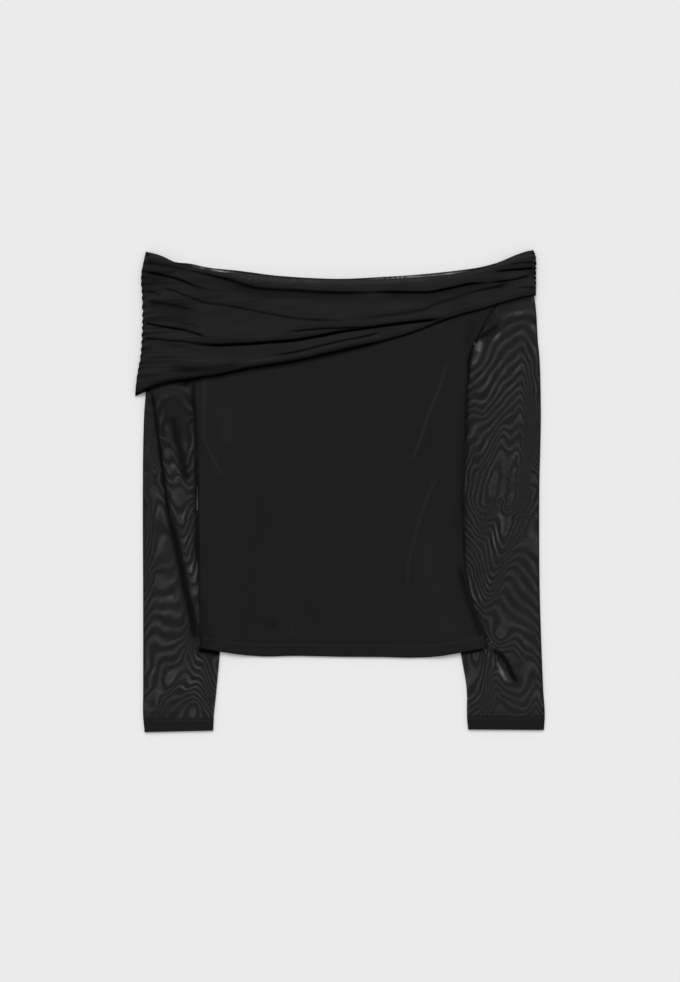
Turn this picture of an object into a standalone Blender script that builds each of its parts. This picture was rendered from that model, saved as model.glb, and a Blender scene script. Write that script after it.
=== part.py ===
"""Off-shoulder long-sleeved mesh top, laid flat and face up, modelled as the pieces that are cut and sewn.

The garment lies on the XY plane with its neckline toward +Y, and +Z points away from the surface it lies on.
Tables and functions here are in millimetres, and the meshes are in metres.
From the floor up lie the back of the band, the sleeves, the back panel, the front panel and the front of the band.
"""
from collections import namedtuple

import bpy
import numpy as np

MM = 0.001

# Cloth and seams
WALL = 1.2
BAND_WALL = 1.4
SEAM_GAP = 0.3
SLEEVE_HOLLOW = 0.8

# Layers, counted from the floor
ON_BACK_BAND = WALL + SEAM_GAP
SLEEVE_HEIGHT = 2 * WALL + SLEEVE_HOLLOW
ON_SLEEVE = SLEEVE_HEIGHT + SEAM_GAP

# How far a layer keeps its height past the edge it lies over, and the length of its fall to the floor
SLEEVE_COVER, SLEEVE_FALL = 14.0, 25.0
PANEL_COVER, PANEL_FALL = 36.0, 30.0
SIDE_COVER, SIDE_FALL, SIDE_REACH = 14.0, 34.0, 13.0

# Hems, neckline and band
HEM_DEPTH, HEM_RISE = 17.0, 0.4
BACK_HEM_SHORT = 1.5
NECK_INSET = 10.0
NECK_ROLL = 7.0
TOP_HEIGHT = 294
BAND_PUFF = 3.2
BAND_EDGE_ROLL = 5.0
LEFT_GATHERS, RIGHT_GATHERS = 20, 9
GATHER_DEPTH, GATHER_LENGTH = 1.7, 26.0
GATHER_PLAN = 0.8
UNDERARM = dict(left=186.0, right=192.0)

BodyRow = namedtuple("BodyRow", "height left right")
BODY_SIDES = (
    BodyRow(-204, -181.3, 191.3),
    BodyRow(-190, -181.8, 190.0),
    BodyRow(-167, -182.5, 180.8),
    BodyRow(-134, -183.4, 170.0),
    BodyRow(-103, -184.0, 164.0),
    BodyRow(-70, -184.4, 161.4),
    BodyRow(-30, -184.6, 159.4),
    BodyRow(0, -184.7, 158.8),
    BodyRow(66, -186.2, 162.2),
    BodyRow(109, -188.8, 164.0),
    BodyRow(145, -191.7, 165.9),
    BodyRow(178, -195.0, 168.9),
    BodyRow(186, -196.2, 171.6),
    BodyRow(192, -198.5, 174.4),
    BodyRow(211, -204.9, 185.4),
    BodyRow(243, -216.3, 201.7),
    BodyRow(261, -223.4, 209.5),
    BodyRow(281, -230.9, 217.3),
    BodyRow(294, -235.6, 222.4),
)
BODY_ROW_HEIGHTS = (
    -204, -189, -167, -140, -112, -84, -56, -28, 0, 28, 52, 74, 94, 110, 124, 138, 152, 166, 178, 186,
    192, 202, 216, 232, 250, 266, 281, TOP_HEIGHT,
)
BODY_COLUMNS = (
    0.0, 0.03, 0.06, 0.095, 0.13, 0.165, 0.2, 0.24, 0.29, 0.36, 0.45, 0.54, 0.63, 0.69, 0.74, 0.78, 0.82,
    0.86, 0.9, 0.94, 0.97, 1.0,
)

HemPoint = namedtuple("HemPoint", "across height")
HEM_LINE = (
    HemPoint(-181.3, -204.0),
    HemPoint(-156, -208.5),
    HemPoint(-117, -213.8),
    HemPoint(-98, -215.0),
    HemPoint(-64, -214.2),
    HemPoint(0, -215.3),
    HemPoint(60, -215.8),
    HemPoint(96, -216.5),
    HemPoint(122, -215.3),
    HemPoint(154, -210.4),
    HemPoint(174, -206.6),
    HemPoint(191.3, -204.0),
)

SleeveRow = namedtuple("SleeveRow", "height outer inner")
SLEEVE_ROWS = dict(
    left=(
        SleeveRow(-312, -254.0, -164.9),
        SleeveRow(-295, -255.7, -164.0),
        SleeveRow(-259, -255.8, -160.4),
        SleeveRow(-210, -255.8, -155.9),
        SleeveRow(-129, -255.9, -148.0),
        SleeveRow(-25, -256.3, -137.6),
        SleeveRow(60, -255.7, -132.4),
        SleeveRow(100, -254.5, -135.0),
        SleeveRow(127, -252.4, -154.5),
        SleeveRow(148, -251.2, -180.5),
        SleeveRow(166, -250.7, -195.8),
        SleeveRow(186, -250.2, -198.4),
        SleeveRow(294, -247.0, -236.4),
    ),
    right=(
        SleeveRow(-310, 264.9, 166.5),
        SleeveRow(-295, 266.0, 165.0),
        SleeveRow(-259, 264.1, 164.5),
        SleeveRow(-211, 262.1, 156.8),
        SleeveRow(-129, 259.5, 144.5),
        SleeveRow(-51, 258.8, 135.4),
        SleeveRow(21, 259.3, 130.2),
        SleeveRow(60, 260.4, 128.9),
        SleeveRow(99, 261.0, 130.2),
        SleeveRow(131, 260.6, 138.0),
        SleeveRow(160, 259.9, 154.9),
        SleeveRow(178, 258.8, 170.0),
        SleeveRow(192, 257.3, 175.6),
        SleeveRow(232, 254.8, 196.5),
        SleeveRow(250, 252.6, 205.5),
        SleeveRow(268, 247.6, 213.0),
        SleeveRow(294, 245.4, 223.2),
    ),
)
SLEEVE_RING_HEIGHTS = (
    -303, -295, -277, -245, -210, -170, -130, -90, -50, -10, 30, 60, 85, 104, 120, 134, 148, 162, 175,
)
ARMHOLE_HEIGHTS = dict(
    left=(192, 202, 216, 232, 250, 266, 281, TOP_HEIGHT),
    right=(202, 216, 232, 250, 266, 281, TOP_HEIGHT),
)
CUFF_ENDS = dict(left=(-313.3, -311.2), right=(-310.4, -309.8))
SLEEVE_ACROSS = (0.0, 0.13, 0.3, 0.5, 0.7, 0.87, 1.0)

BandRow = namedtuple("BandRow", "across back_top front_top lower")
BAND_EDGES = (
    BandRow(-266, 309.5, 309.5, 123.5),
    BandRow(-252, 309.5, 310.5, 129.5),
    BandRow(-246, 308.5, 309.5, 133.0),
    BandRow(-232, 304.5, 305.5, 138.0),
    BandRow(-214, 297.5, 297.0, 141.5),
    BandRow(-195, 295.5, 291.5, 144.0),
    BandRow(-175, 291.0, 287.5, 148.0),
    BandRow(-155, 288.5, 284.5, 151.0),
    BandRow(-135, 286.5, 283.0, 156.0),
    BandRow(-115, 284.0, 281.0, 160.0),
    BandRow(-97, 281.5, 279.0, 162.5),
    BandRow(-50, 277.5, 276.0, 170.5),
    BandRow(0, 275.8, 274.8, 182.0),
    BandRow(58, 278.5, 275.5, 195.5),
    BandRow(97, 281.0, 277.5, 207.0),
    BandRow(130, 284.0, 280.0, 220.0),
    BandRow(156, 287.0, 283.5, 228.5),
    BandRow(182, 291.0, 289.0, 235.5),
    BandRow(208, 298.0, 298.0, 243.5),
    BandRow(228, 305.5, 306.5, 249.0),
    BandRow(243, 310.5, 311.5, 252.5),
    BandRow(256, 312.5, 313.5, 254.0),
)
BandEnd = namedtuple("BandEnd", "height across")
BAND_LEFT_END = (
    BandEnd(309.5, -252.4),
    BandEnd(297, -255.2),
    BandEnd(284, -257.8),
    BandEnd(250, -256.8),
    BandEnd(222, -256.4),
    BandEnd(196, -257.4),
    BandEnd(175, -259.0),
    BandEnd(155, -262.6),
    BandEnd(140, -264.8),
    BandEnd(124, -266.0),
)
BAND_RIGHT_END = (
    BandEnd(313.2, 250.9),
    BandEnd(308, 253.2),
    BandEnd(295, 254.6),
    BandEnd(283, 254.0),
    BandEnd(270, 254.5),
    BandEnd(254, 254.3),
)
BAND_ROWS = 41
BAND_COLUMNS = (
    0, 3, 7, 12, 18, 26, 36, 50, 68, 88, 108, 128, 148, 170, 192, 214, 236, 258, 280, 302, 324, 346, 368, 390,
    412, 432, 450, 466, 479, 489, 496, 502, 506,
)
BAND_SPAN = 506.0

# Troughs between the band's folds: depth is the share of the fold's height that the trough takes away,
# half_width is across the trough, and the trough fades over `fade` at an end marked open
Trough = namedtuple("Trough", "depth half_width fade open_left open_right line")
BAND_TROUGHS = (
    Trough(0.9, 5.5, 90, True, False, (
        (-253, 297), (-214, 289), (-175, 282), (-136, 270.5), (-97, 262), (-58, 259), (0, 257), (59, 258),
        (117, 259), (137, 263), (156, 268), (215, 272), (246, 279))),
    Trough(0.6, 4.5, 45, False, True, (
        (-257, 285), (-226, 278), (-199, 272), (-187, 266), (-156, 258), (-120, 249))),
    Trough(0.65, 4.0, 30, False, False, (
        (-249, 265), (-226, 262), (-210, 258), (-195, 251), (-156, 242), (-107, 233), (-58, 224), (0, 221),
        (39, 225), (78, 229), (98, 231), (137, 243), (176, 258), (224, 272))),
    Trough(0.55, 4.0, 22, False, True, (
        (-250, 246), (-234, 244), (-214, 240), (-195, 234.5), (-176, 229))),
    Trough(0.8, 5.0, 26, False, True, (
        (-253, 219), (-234, 214), (-199, 208), (-171, 199), (-155, 195.5))),
    Trough(0.9, 5.5, 40, False, False, (
        (-255, 198), (-214, 194), (-175, 190), (-127, 189.5), (-97, 192), (-58, 195.5), (0, 209), (39, 214),
        (107, 221), (140, 224.5))),
    Trough(0.4, 4.5, 40, True, True, (
        (-110, 172), (-68, 178), (-38, 185.5), (0, 194.5), (29, 203), (49, 208))),
)

# Soft folds on the front panel: height above the cloth beside them and half width, along a line
SoftFold = namedtuple("SoftFold", "rise half_width line")
BODY_FOLDS = (
    SoftFold(1.6, 12.0, ((138, 142), (122, 96), (102, 45), (90, 0), (78, -45))),
    SoftFold(1.3, 11.0, ((127, 20), (112, -15), (97, -63), (90, -95), (86, -122))),
    SoftFold(0.9, 9.0, ((-176, 140), (-174, 90), (-171, 55), (-160, 30), (-148, 10))),
    SoftFold(1.4, 13.0, ((150, -60), (156, -100), (166, -140), (180, -175))),
)

Label = namedtuple("Label", "top bottom near far thickness")
LABEL = Label(top=5.7, bottom=-25.5, near=0.3, far=2.7, thickness=0.9)

BLACK_CLOTH = (0.012, 0.012, 0.013, 1.0)
SHEER_CLOTH = (0.035, 0.035, 0.037, 1.0)
LABEL_CLOTH = (0.45, 0.45, 0.45, 1.0)


def ease(share):
    """0 to 1 with a soft start and end."""
    t = np.clip(share, 0.0, 1.0)
    return t * t * (3.0 - 2.0 * t)


def smooth(stations, values):
    """A smooth curve through a table's values, held level past its ends."""
    knots = np.array(stations, float)
    heights = np.array(values, float)
    slopes = np.gradient(heights, knots)

    def at(x):
        x = np.asarray(x, float)
        i = np.clip(np.searchsorted(knots, x) - 1, 0, len(knots) - 2)
        step = knots[i + 1] - knots[i]
        t = np.clip((x - knots[i]) / step, 0.0, 1.0)
        start = (1 + 2 * t) * (1 - t) ** 2 * heights[i] + t * (1 - t) ** 2 * step * slopes[i]
        end = t * t * (3 - 2 * t) * heights[i + 1] + t * t * (t - 1) * step * slopes[i + 1]
        return start + end

    return at


def column(rows, x_name, y_name):
    """The curve of one named column of a table over another."""
    pairs = sorted((getattr(row, x_name), getattr(row, y_name)) for row in rows)
    return smooth(*zip(*pairs))


body_left = column(BODY_SIDES, "height", "left")
body_right = column(BODY_SIDES, "height", "right")
hem_height = column(HEM_LINE, "across", "height")
band_back_top = column(BAND_EDGES, "across", "back_top")
band_front_top = column(BAND_EDGES, "across", "front_top")
band_lower = column(BAND_EDGES, "across", "lower")
band_left_end = column(BAND_LEFT_END, "height", "across")
band_right_end = column(BAND_RIGHT_END, "height", "across")
sleeve_outer = {side: column(rows, "height", "outer") for side, rows in SLEEVE_ROWS.items()}
sleeve_inner = {side: column(rows, "height", "inner") for side, rows in SLEEVE_ROWS.items()}
SIGN = dict(left=-1.0, right=1.0)


# Heights of the layers

def back_band_lift(x, y, cover, fall):
    """How far a layer is held up by the back of the band, past whose lower edge it falls to the floor."""
    return ON_BACK_BAND * ease((y - band_lower(x) + cover + fall) / fall)


def sleeve_bottom(x, y):
    return back_band_lift(x, y, SLEEVE_COVER, SLEEVE_FALL)


def over_sleeve(x, y):
    """How far the panels are held up by the sleeves that lie under them."""
    lift = np.zeros(np.broadcast(x, y).shape)
    for side, sign in SIGN.items():
        reaches = [sign * sleeve_inner[side](y + step) for step in (-SIDE_REACH, 0.0, SIDE_REACH)]
        edge = np.minimum.reduce(reaches) - SIDE_COVER
        share = ease((sign * x - edge + SIDE_FALL) / SIDE_FALL)
        below_armhole = ease((UNDERARM[side] + 30.0 - y) / 26.0)
        lift = np.maximum(lift, ON_SLEEVE * share * below_armhole)
    return lift


def back_panel_bottom(x, y):
    return back_band_lift(x, y, PANEL_COVER, PANEL_FALL) + over_sleeve(x, y)


def distance_to_line(x, y, points):
    """Distance from each place to a line of straight runs, and how far along the line its nearest point is."""
    best = np.full(np.broadcast(x, y).shape, 1e9)
    along = np.zeros_like(best)
    runs = [np.hypot(b[0] - a[0], b[1] - a[1]) for a, b in zip(points, points[1:])]
    passed = 0.0
    for a, b, run in zip(points, points[1:], runs):
        share = ((x - a[0]) * (b[0] - a[0]) + (y - a[1]) * (b[1] - a[1])) / run ** 2
        share = np.clip(share, 0.0, 1.0)
        away = np.hypot(x - a[0] - share * (b[0] - a[0]), y - a[1] - share * (b[1] - a[1]))
        nearer = away < best
        best = np.where(nearer, away, best)
        along = np.where(nearer, passed + share * run, along)
        passed += run
    return best, along / sum(runs)


def body_relief(x, y):
    """Soft folds and the turned hem on the front panel."""
    rise = HEM_RISE * ease((hem_height(x) + HEM_DEPTH - y) / 3.0)
    for fold in BODY_FOLDS:
        away, along = distance_to_line(x, y, fold.line)
        rise = rise + fold.rise * ease(1.0 - away / fold.half_width) * np.sin(np.pi * along) ** 0.5
    return rise


def front_panel_bottom(x, y):
    return back_panel_bottom(x, y) + WALL + SEAM_GAP + body_relief(x, y)


def armhole_across(side, y):
    return body_left(y) if side == "left" else body_right(y)


def sleeve_front_bottom(side, x, y):
    """Underside of a sleeve's upper wall, which meets the front panel's height at the armhole."""
    base = sleeve_bottom(x, y) + WALL + SLEEVE_HOLLOW
    edge = armhole_across(side, y)
    join = front_panel_bottom(edge, y) - (sleeve_bottom(edge, y) + WALL + SLEEVE_HOLLOW)
    near = ease(1.0 - np.abs(x - edge) / 18.0) * ease((y - UNDERARM[side]) / 10.0)
    cuff = HEM_RISE * ease((SLEEVE_ROWS[side][0].height + HEM_DEPTH - y) / 3.0)
    return base + np.maximum(join, 0.0) * near + cuff


def top_of_layers(x, y):
    """Top of the front panel, and past its armholes the top of the sleeves, as if they went on outward."""
    top = front_panel_bottom(x, y) + WALL
    for side, sign in SIGN.items():
        past_armhole = sign * x >= sign * armhole_across(side, y)
        top = np.where(past_armhole, sleeve_front_bottom(side, x, y) + WALL, top)
    return top


def band_front_support(x, y):
    """Underside of the band's front, which comes down to the band's back at its ends and its rolled top edge."""
    high = highest_near(top_of_layers, x, y, across=9.0, along=3.0) + SEAM_GAP
    room = dict(left=x - band_left_end(y), right=band_right_end(y) - x)
    drop = ease((band_front_top(x) - y) / NECK_ROLL)
    for side, sign in SIGN.items():
        end = band_left_end(y) if side == "left" else band_right_end(y)
        length = sign * (end - sleeve_outer[side](y)) - 0.8
        drop = drop * np.where(length > 1.0, ease(room[side] / np.maximum(length, 1.0)), 1.0)
    return ON_BACK_BAND + (high - ON_BACK_BAND) * drop


def highest_near(surface, x, y, across, along):
    """The highest that a surface gets within a cell of each place."""
    best = surface(x, y)
    for dx in (-across, -across / 2, 0.0, across / 2, across):
        for dy in (-along, 0.0, along):
            best = np.maximum(best, surface(x + dx, y + dy))
    return best


def band_puff(x, y):
    """Height of the folds on the front of the band above what they lie on."""
    puff = np.ones(np.broadcast(x, y).shape)
    for trough in BAND_TROUGHS:
        knots, heights = zip(*trough.line)
        away = np.abs(y - smooth(knots, heights)(x)) / trough.half_width
        start = (x - knots[0]) / trough.fade if trough.open_left else (x - knots[0] + 8.0) / 8.0
        end = (knots[-1] - x) / trough.fade if trough.open_right else (knots[-1] + 8.0 - x) / 8.0
        puff = puff - trough.depth * ease(1.0 - away) * ease(start) * ease(end)
    from_top = ease((band_front_top(x) - y) / BAND_EDGE_ROLL)
    from_lower = ease((y - band_lower(x)) / (1.4 * BAND_EDGE_ROLL))
    from_ends = ease((x - band_left_end(y)) / 12.0) * ease((band_right_end(y) - x) / 12.0)
    return BAND_PUFF * np.clip(puff, 0.0, 1.0) * from_top * from_lower * (0.25 + 0.75 * from_ends)


# Meshes

def material(name, colour, roughness):
    made = bpy.data.materials.new(name)
    made.use_nodes = True
    shader = made.node_tree.nodes["Principled BSDF"]
    shader.inputs["Base Color"].default_value = colour
    shader.inputs["Roughness"].default_value = roughness
    shader.inputs["Metallic"].default_value = 0.0
    return made


def add_object(name, points, faces, surface):
    """One named object from points in millimetres."""
    mesh = bpy.data.meshes.new(name)
    mesh.from_pydata([tuple(MM * float(value) for value in point) for point in points], [], faces)
    mesh.materials.append(surface)
    mesh.shade_smooth()
    mesh.set_sharp_from_angle(angle=0.9)
    made = bpy.data.objects.new(name, mesh)
    bpy.context.scene.collection.objects.link(made)
    return made


def triangles(a, b, c, d):
    """Two faces of a cell, always cut along the same diagonal so that layers stay parallel."""
    return [(a, b, c), (a, c, d)]


def sheet_wall(name, plan, bottom, thickness, surface):
    """A closed wall over a grid of plan places whose rows run from low to high and columns left to right."""
    rows, columns = plan.shape[:2]
    lower = np.dstack([plan, bottom])
    upper = np.dstack([plan, bottom + thickness])
    points = np.concatenate([lower.reshape(-1, 3), upper.reshape(-1, 3)])
    count = rows * columns

    def at(row, col, layer):
        return layer * count + row * columns + col

    faces = []
    for row in range(rows - 1):
        for col in range(columns - 1):
            cell = [(row, col), (row, col + 1), (row + 1, col + 1), (row + 1, col)]
            faces += triangles(*[at(r, c, 1) for r, c in cell])
            a, b, c, d = [at(r, c, 0) for r, c in cell]
            faces += [(a, c, b), (a, d, c)]
    around = [(0, col) for col in range(columns - 1)]
    around += [(row, columns - 1) for row in range(rows - 1)]
    around += [(rows - 1, col) for col in range(columns - 1, 0, -1)]
    around += [(row, 0) for row in range(rows - 1, 0, -1)]
    for here, there in zip(around, around[1:] + around[:1]):
        faces += triangles(at(*here, 0), at(*there, 0), at(*there, 1), at(*here, 1))
    return add_object(name, points, faces, surface)


def plan_between(left, right, lower, upper, across, along):
    """Plan places spread between four edges: across and along are each column's and row's share."""
    u = np.array(across)[None, :, None]
    v = np.array(along)[:, None, None]
    sides = (1 - u) * left[:, None, :] + u * right[:, None, :]
    ends = (1 - v) * lower[None, :, :] + v * upper[None, :, :]
    corners = (1 - u) * (1 - v) * lower[0] + u * (1 - v) * lower[-1] + (1 - u) * v * upper[0] + u * v * upper[-1]
    return sides + ends - corners


def steepness(x, y, height):
    """How much longer an upright line through a sloping wall is than the wall is thick."""
    slope_across = np.gradient(height, axis=1) / np.gradient(x, axis=1)
    slope_along = np.gradient(height, axis=0) / np.gradient(y, axis=0)
    return np.clip(np.sqrt(1.0 + slope_across ** 2 + slope_along ** 2), 1.0, 1.5)


def edge_points(x, y):
    return np.stack(np.broadcast_arrays(np.asarray(x, float), np.asarray(y, float)), axis=-1)


def body_plan(hem_short):
    """Plan of a body panel, whose rows meet both sides at the same heights."""
    heights = np.array(BODY_ROW_HEIGHTS, float)
    share = (heights - heights[0]) / (heights[-1] - heights[0])
    across = np.array(BODY_COLUMNS)
    low_x = body_left(heights[0]) + across * (body_right(heights[0]) - body_left(heights[0]))
    top_x = body_left(heights[-1]) + across * (body_right(heights[-1]) - body_left(heights[-1]))
    left = edge_points(body_left(heights), heights)
    right = edge_points(body_right(heights), heights)
    hem = edge_points(low_x, hem_height(low_x) + hem_short * np.sin(np.pi * across) ** 0.25)
    neck = band_front_top(top_x) - NECK_INSET
    ends = ease(np.minimum(across, 1.0 - across) / 0.06)
    neck = heights[-1] + (neck - heights[-1]) * ends
    return plan_between(left, right, hem, edge_points(top_x, neck), across, share)


def build_back_panel(cloth):
    plan = body_plan(BACK_HEM_SHORT)
    x, y = plan[..., 0], plan[..., 1]
    return sheet_wall("back_panel", plan, back_panel_bottom(x, y), WALL, cloth)


def build_front_panel(cloth):
    plan = body_plan(0.0)
    x, y = plan[..., 0], plan[..., 1]
    return sheet_wall("front_panel", plan, front_panel_bottom(x, y), WALL, cloth)


def sleeve_ring(side, height, cuff, opened):
    """Outer and inner points of one ring, from the inner fold under the sleeve, round the outer fold and back."""
    sign = SIGN[side]
    outer_x = float(sleeve_outer[side](height))
    inner_x = float(sleeve_inner[side](height))
    if opened:
        inner_x = float(armhole_across(side, height)) + sign * SEAM_GAP
    round_out = SLEEVE_HEIGHT / 2
    start = inner_x + (0.0 if opened else sign * round_out)
    end = outer_x - sign * round_out
    rings = []
    for radius in (round_out, SLEEVE_HOLLOW / 2):
        below = WALL if radius < round_out else 0.0
        ring = []

        def place(x, turn):
            """A point at an angle round the fold, -90 on the lower wall and 90 on the upper one."""
            y = height
            if cuff:
                share = (x - outer_x) / (inner_x - outer_x)
                y = CUFF_ENDS[side][0] + share * (CUFF_ENDS[side][1] - CUFF_ENDS[side][0])
            low = float(sleeve_bottom(x, y)) + below
            high = float(sleeve_front_bottom(side, x, y)) + (WALL if radius == round_out else 0.0)
            share = 0.5 + 0.5 * np.sin(np.radians(turn))
            ring.append((x, y, low + share * (high - low)))

        if opened:
            place(start, -90)
            place(start + sign * 1.0, -90)
        else:
            place(start - sign * radius, 0)
            place(start - sign * radius * 0.707, -45)
        run = end - start
        first = 2.0 * sign if opened else 0.0
        for share in SLEEVE_ACROSS:
            place(start + first + share * (run - first), -90)
        for turn in (-45, 0, 45):
            place(end + sign * radius * np.cos(np.radians(turn)), turn)
        for share in SLEEVE_ACROSS[::-1]:
            place(start + first + share * (run - first), 90)
        if opened:
            place(start + sign * 1.0, 90)
            place(start, 90)
        else:
            place(start - sign * radius * 0.707, 45)
            place(start - sign * radius, 0)
        rings.append(ring)
    return rings


def build_sleeve(side, cloth):
    """A flattened tube from the cuff to the underarm, open above it along the front and back armholes."""
    closed = (CUFF_ENDS[side][0],) + SLEEVE_RING_HEIGHTS + (UNDERARM[side],)
    rings = [sleeve_ring(side, height, number == 0, False) for number, height in enumerate(closed)]
    rings += [sleeve_ring(side, height, False, True) for height in ARMHOLE_HEIGHTS[side]]
    steps = len(rings[0][0]) - 1
    shared = len(closed)
    points, index = [], {}
    for number, pair in enumerate(rings):
        for skin, ring in enumerate(pair):
            for step, point in enumerate(ring):
                if number < shared and step == steps:
                    index[number, skin, step] = index[number, skin, 0]
                    continue
                index[number, skin, step] = len(points)
                points.append(point)
    faces = []

    def cell(*corners):
        nonlocal faces
        a, b, c, d = [index[corner] for corner in corners]
        faces += triangles(a, b, c, d)

    last = len(rings) - 1
    for number in range(last):
        for step in range(steps):
            cell((number, 0, step), (number, 0, step + 1), (number + 1, 0, step + 1), (number + 1, 0, step))
            cell((number, 1, step), (number + 1, 1, step), (number + 1, 1, step + 1), (number, 1, step + 1))
    for step in range(steps):
        cell((0, 0, step), (0, 1, step), (0, 1, step + 1), (0, 0, step + 1))
        cell((last, 0, step), (last, 0, step + 1), (last, 1, step + 1), (last, 1, step))
    for number in range(shared - 1, last):
        cell((number, 0, 0), (number + 1, 0, 0), (number + 1, 1, 0), (number, 1, 0))
        cell((number, 0, steps), (number, 1, steps), (number + 1, 1, steps), (number + 1, 0, steps))
    if side == "right":
        faces = [face[::-1] for face in faces]
    return add_object("sleeve_" + side, points, faces, cloth)


def band_plan(top_line):
    """Plan of the band: rows from its lower edge to its top edge, with the gathers' waves at both ends."""
    share = np.linspace(0.0, 1.0, BAND_ROWS)
    across = np.array(BAND_COLUMNS) / BAND_SPAN
    low_left, top_left = float(band_left_end(124.0)), float(band_left_end(309.5))
    low_right, top_right = float(band_right_end(254.0)), float(band_right_end(313.2))
    low_x = low_left + across * (low_right - low_left)
    top_x = top_left + across * (top_right - top_left)
    lower = edge_points(low_x, band_lower(low_x))
    upper = edge_points(top_x, top_line(top_x))
    left_y = lower[0, 1] + share * (upper[0, 1] - lower[0, 1])
    right_y = lower[-1, 1] + share * (upper[-1, 1] - lower[-1, 1])
    wave = np.sin(np.pi * share)
    left_x = band_left_end(left_y) + GATHER_PLAN * wave * left_gather(share)
    right_x = band_right_end(right_y) - GATHER_PLAN * wave * right_gather(share)
    return plan_between(edge_points(left_x, left_y), edge_points(right_x, right_y), lower, upper, across, share)


def left_gather(share):
    return np.cos(2.0 * np.pi * LEFT_GATHERS * share)


def right_gather(share):
    return np.cos(2.0 * np.pi * RIGHT_GATHERS * share)


def build_band_back(cloth):
    plan = band_plan(band_back_top)[:: BAND_ROWS // 5]
    return sheet_wall("band_back", plan, np.zeros(plan.shape[:2]), WALL, cloth)


def build_band_front(cloth):
    plan = band_plan(band_front_top)
    x, y = plan[..., 0], plan[..., 1]
    share = np.linspace(0.0, 1.0, BAND_ROWS)[:, None]
    left = ease(1.0 - (x - band_left_end(y)) / GATHER_LENGTH) * (1.0 + left_gather(share))
    right = ease(1.0 - (band_right_end(y) - x) / (0.8 * GATHER_LENGTH)) * (1.0 + right_gather(share))
    gathers = 0.5 * GATHER_DEPTH * (left + right)
    bottom = band_front_support(x, y) + band_puff(x, y) + gathers
    return sheet_wall("band_front", plan, bottom, BAND_WALL * steepness(x, y, bottom), cloth)


def build_care_label(cloth):
    """Edge of the label that is sewn into the left side seam, just outside the panels."""
    heights = np.linspace(LABEL.bottom, LABEL.top, 4)
    edge = body_left(heights)
    plan = np.stack([edge_points(edge - LABEL.far, heights), edge_points(edge - LABEL.near, heights)], axis=1)
    bottom = np.full(plan.shape[:2], ON_SLEEVE)
    return sheet_wall("care_label", plan, bottom, LABEL.thickness, cloth)


def main():
    for old in list(bpy.data.objects):
        bpy.data.objects.remove(old, do_unlink=True)
    opaque = material("black_mesh_lined", BLACK_CLOTH, 0.85)
    sheer = material("sheer_mesh", SHEER_CLOTH, 0.8)
    label = material("label_tape", LABEL_CLOTH, 0.6)
    build_band_back(opaque)
    for side in SIGN:
        build_sleeve(side, sheer)
    build_back_panel(opaque)
    build_front_panel(opaque)
    build_band_front(opaque)
    build_care_label(label)


main()
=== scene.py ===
"""Off-shoulder long-sleeved mesh top laid flat: thin cloth shells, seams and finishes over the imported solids.

The garment lies on the XY plane with its neckline toward +Y. Tables and functions are in millimetres,
and meshes are in metres. Each operator makes one piece, or a group of like pieces, of the garment.
"""
from collections import namedtuple

import bpy
import numpy as np
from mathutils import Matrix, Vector, noise


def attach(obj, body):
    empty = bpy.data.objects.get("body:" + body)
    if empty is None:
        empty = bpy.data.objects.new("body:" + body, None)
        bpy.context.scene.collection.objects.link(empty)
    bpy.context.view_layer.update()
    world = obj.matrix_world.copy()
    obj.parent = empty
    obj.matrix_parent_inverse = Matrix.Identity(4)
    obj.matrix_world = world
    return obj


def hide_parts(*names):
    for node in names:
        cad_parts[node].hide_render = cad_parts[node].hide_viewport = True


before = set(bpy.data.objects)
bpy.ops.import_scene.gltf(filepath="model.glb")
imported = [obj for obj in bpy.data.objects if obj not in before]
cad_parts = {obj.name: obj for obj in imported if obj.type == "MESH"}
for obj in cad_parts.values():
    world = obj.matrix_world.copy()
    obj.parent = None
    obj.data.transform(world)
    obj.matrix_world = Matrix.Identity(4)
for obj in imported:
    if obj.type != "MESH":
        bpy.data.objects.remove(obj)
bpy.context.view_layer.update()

bl_info = {
    "name": "Mesh top, laid flat",
    "version": (1, 0, 0),
    "blender": (4, 5, 0),
    "location": "3D View > Sidebar > Mesh top",
    "description": "Models an off-shoulder mesh top with sheer sleeves, laid flat on a pale floor",
    "category": "Add Mesh",
}

# The tables are in millimetres, and the meshes and settings in metres
MM, METRE = 0.001, 1000.0
BODY = "root"

# Layers of the solids under the cloth: their walls and gaps, how far a layer still covers the one below
# it before it comes down (COVER), and how long it takes to fall (FALL)
WALL, BAND_WALL, SEAM_GAP, SLEEVE_HOLLOW = 1.2, 1.4, 0.3, 0.8
ON_BACK_BAND = WALL + SEAM_GAP
SLEEVE_HEIGHT = 2 * WALL + SLEEVE_HOLLOW
ON_SLEEVE = SLEEVE_HEIGHT + SEAM_GAP
SLEEVE_COVER, SLEEVE_FALL = 14.0, 25.0
PANEL_COVER, PANEL_FALL = 36.0, 30.0
SIDE_COVER, SIDE_FALL, SIDE_REACH = 14.0, 34.0, 13.0
ARMHOLE_COVER, ARMHOLE_FALL = 30.0, 26.0
JOIN_ACROSS, JOIN_ALONG = 18.0, 10.0
HEM_DEPTH, HEM_STEP, CUFF_STEP, BACK_HEM_SHORT = 17.0, 3.0, 2.0, 1.5
NECK_INSET, NECK_ROLL, TOP_HEIGHT = 10.0, 7.0, 294.0
BAND_EDGE_ROLL, BAND_OVERHANG = 5.0, 0.8
NEAR_ACROSS, NEAR_ALONG = (-9.0, -4.5, 0.0, 4.5, 9.0), (-3.0, 0.0, 3.0)
BRIDGE_ACROSS = (-8.0, -5.0, -2.0, 2.0, 5.0, 8.0)
UNDERARM = dict(left=186.0, right=192.0)
SIGN = dict(left=-1.0, right=1.0)

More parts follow.
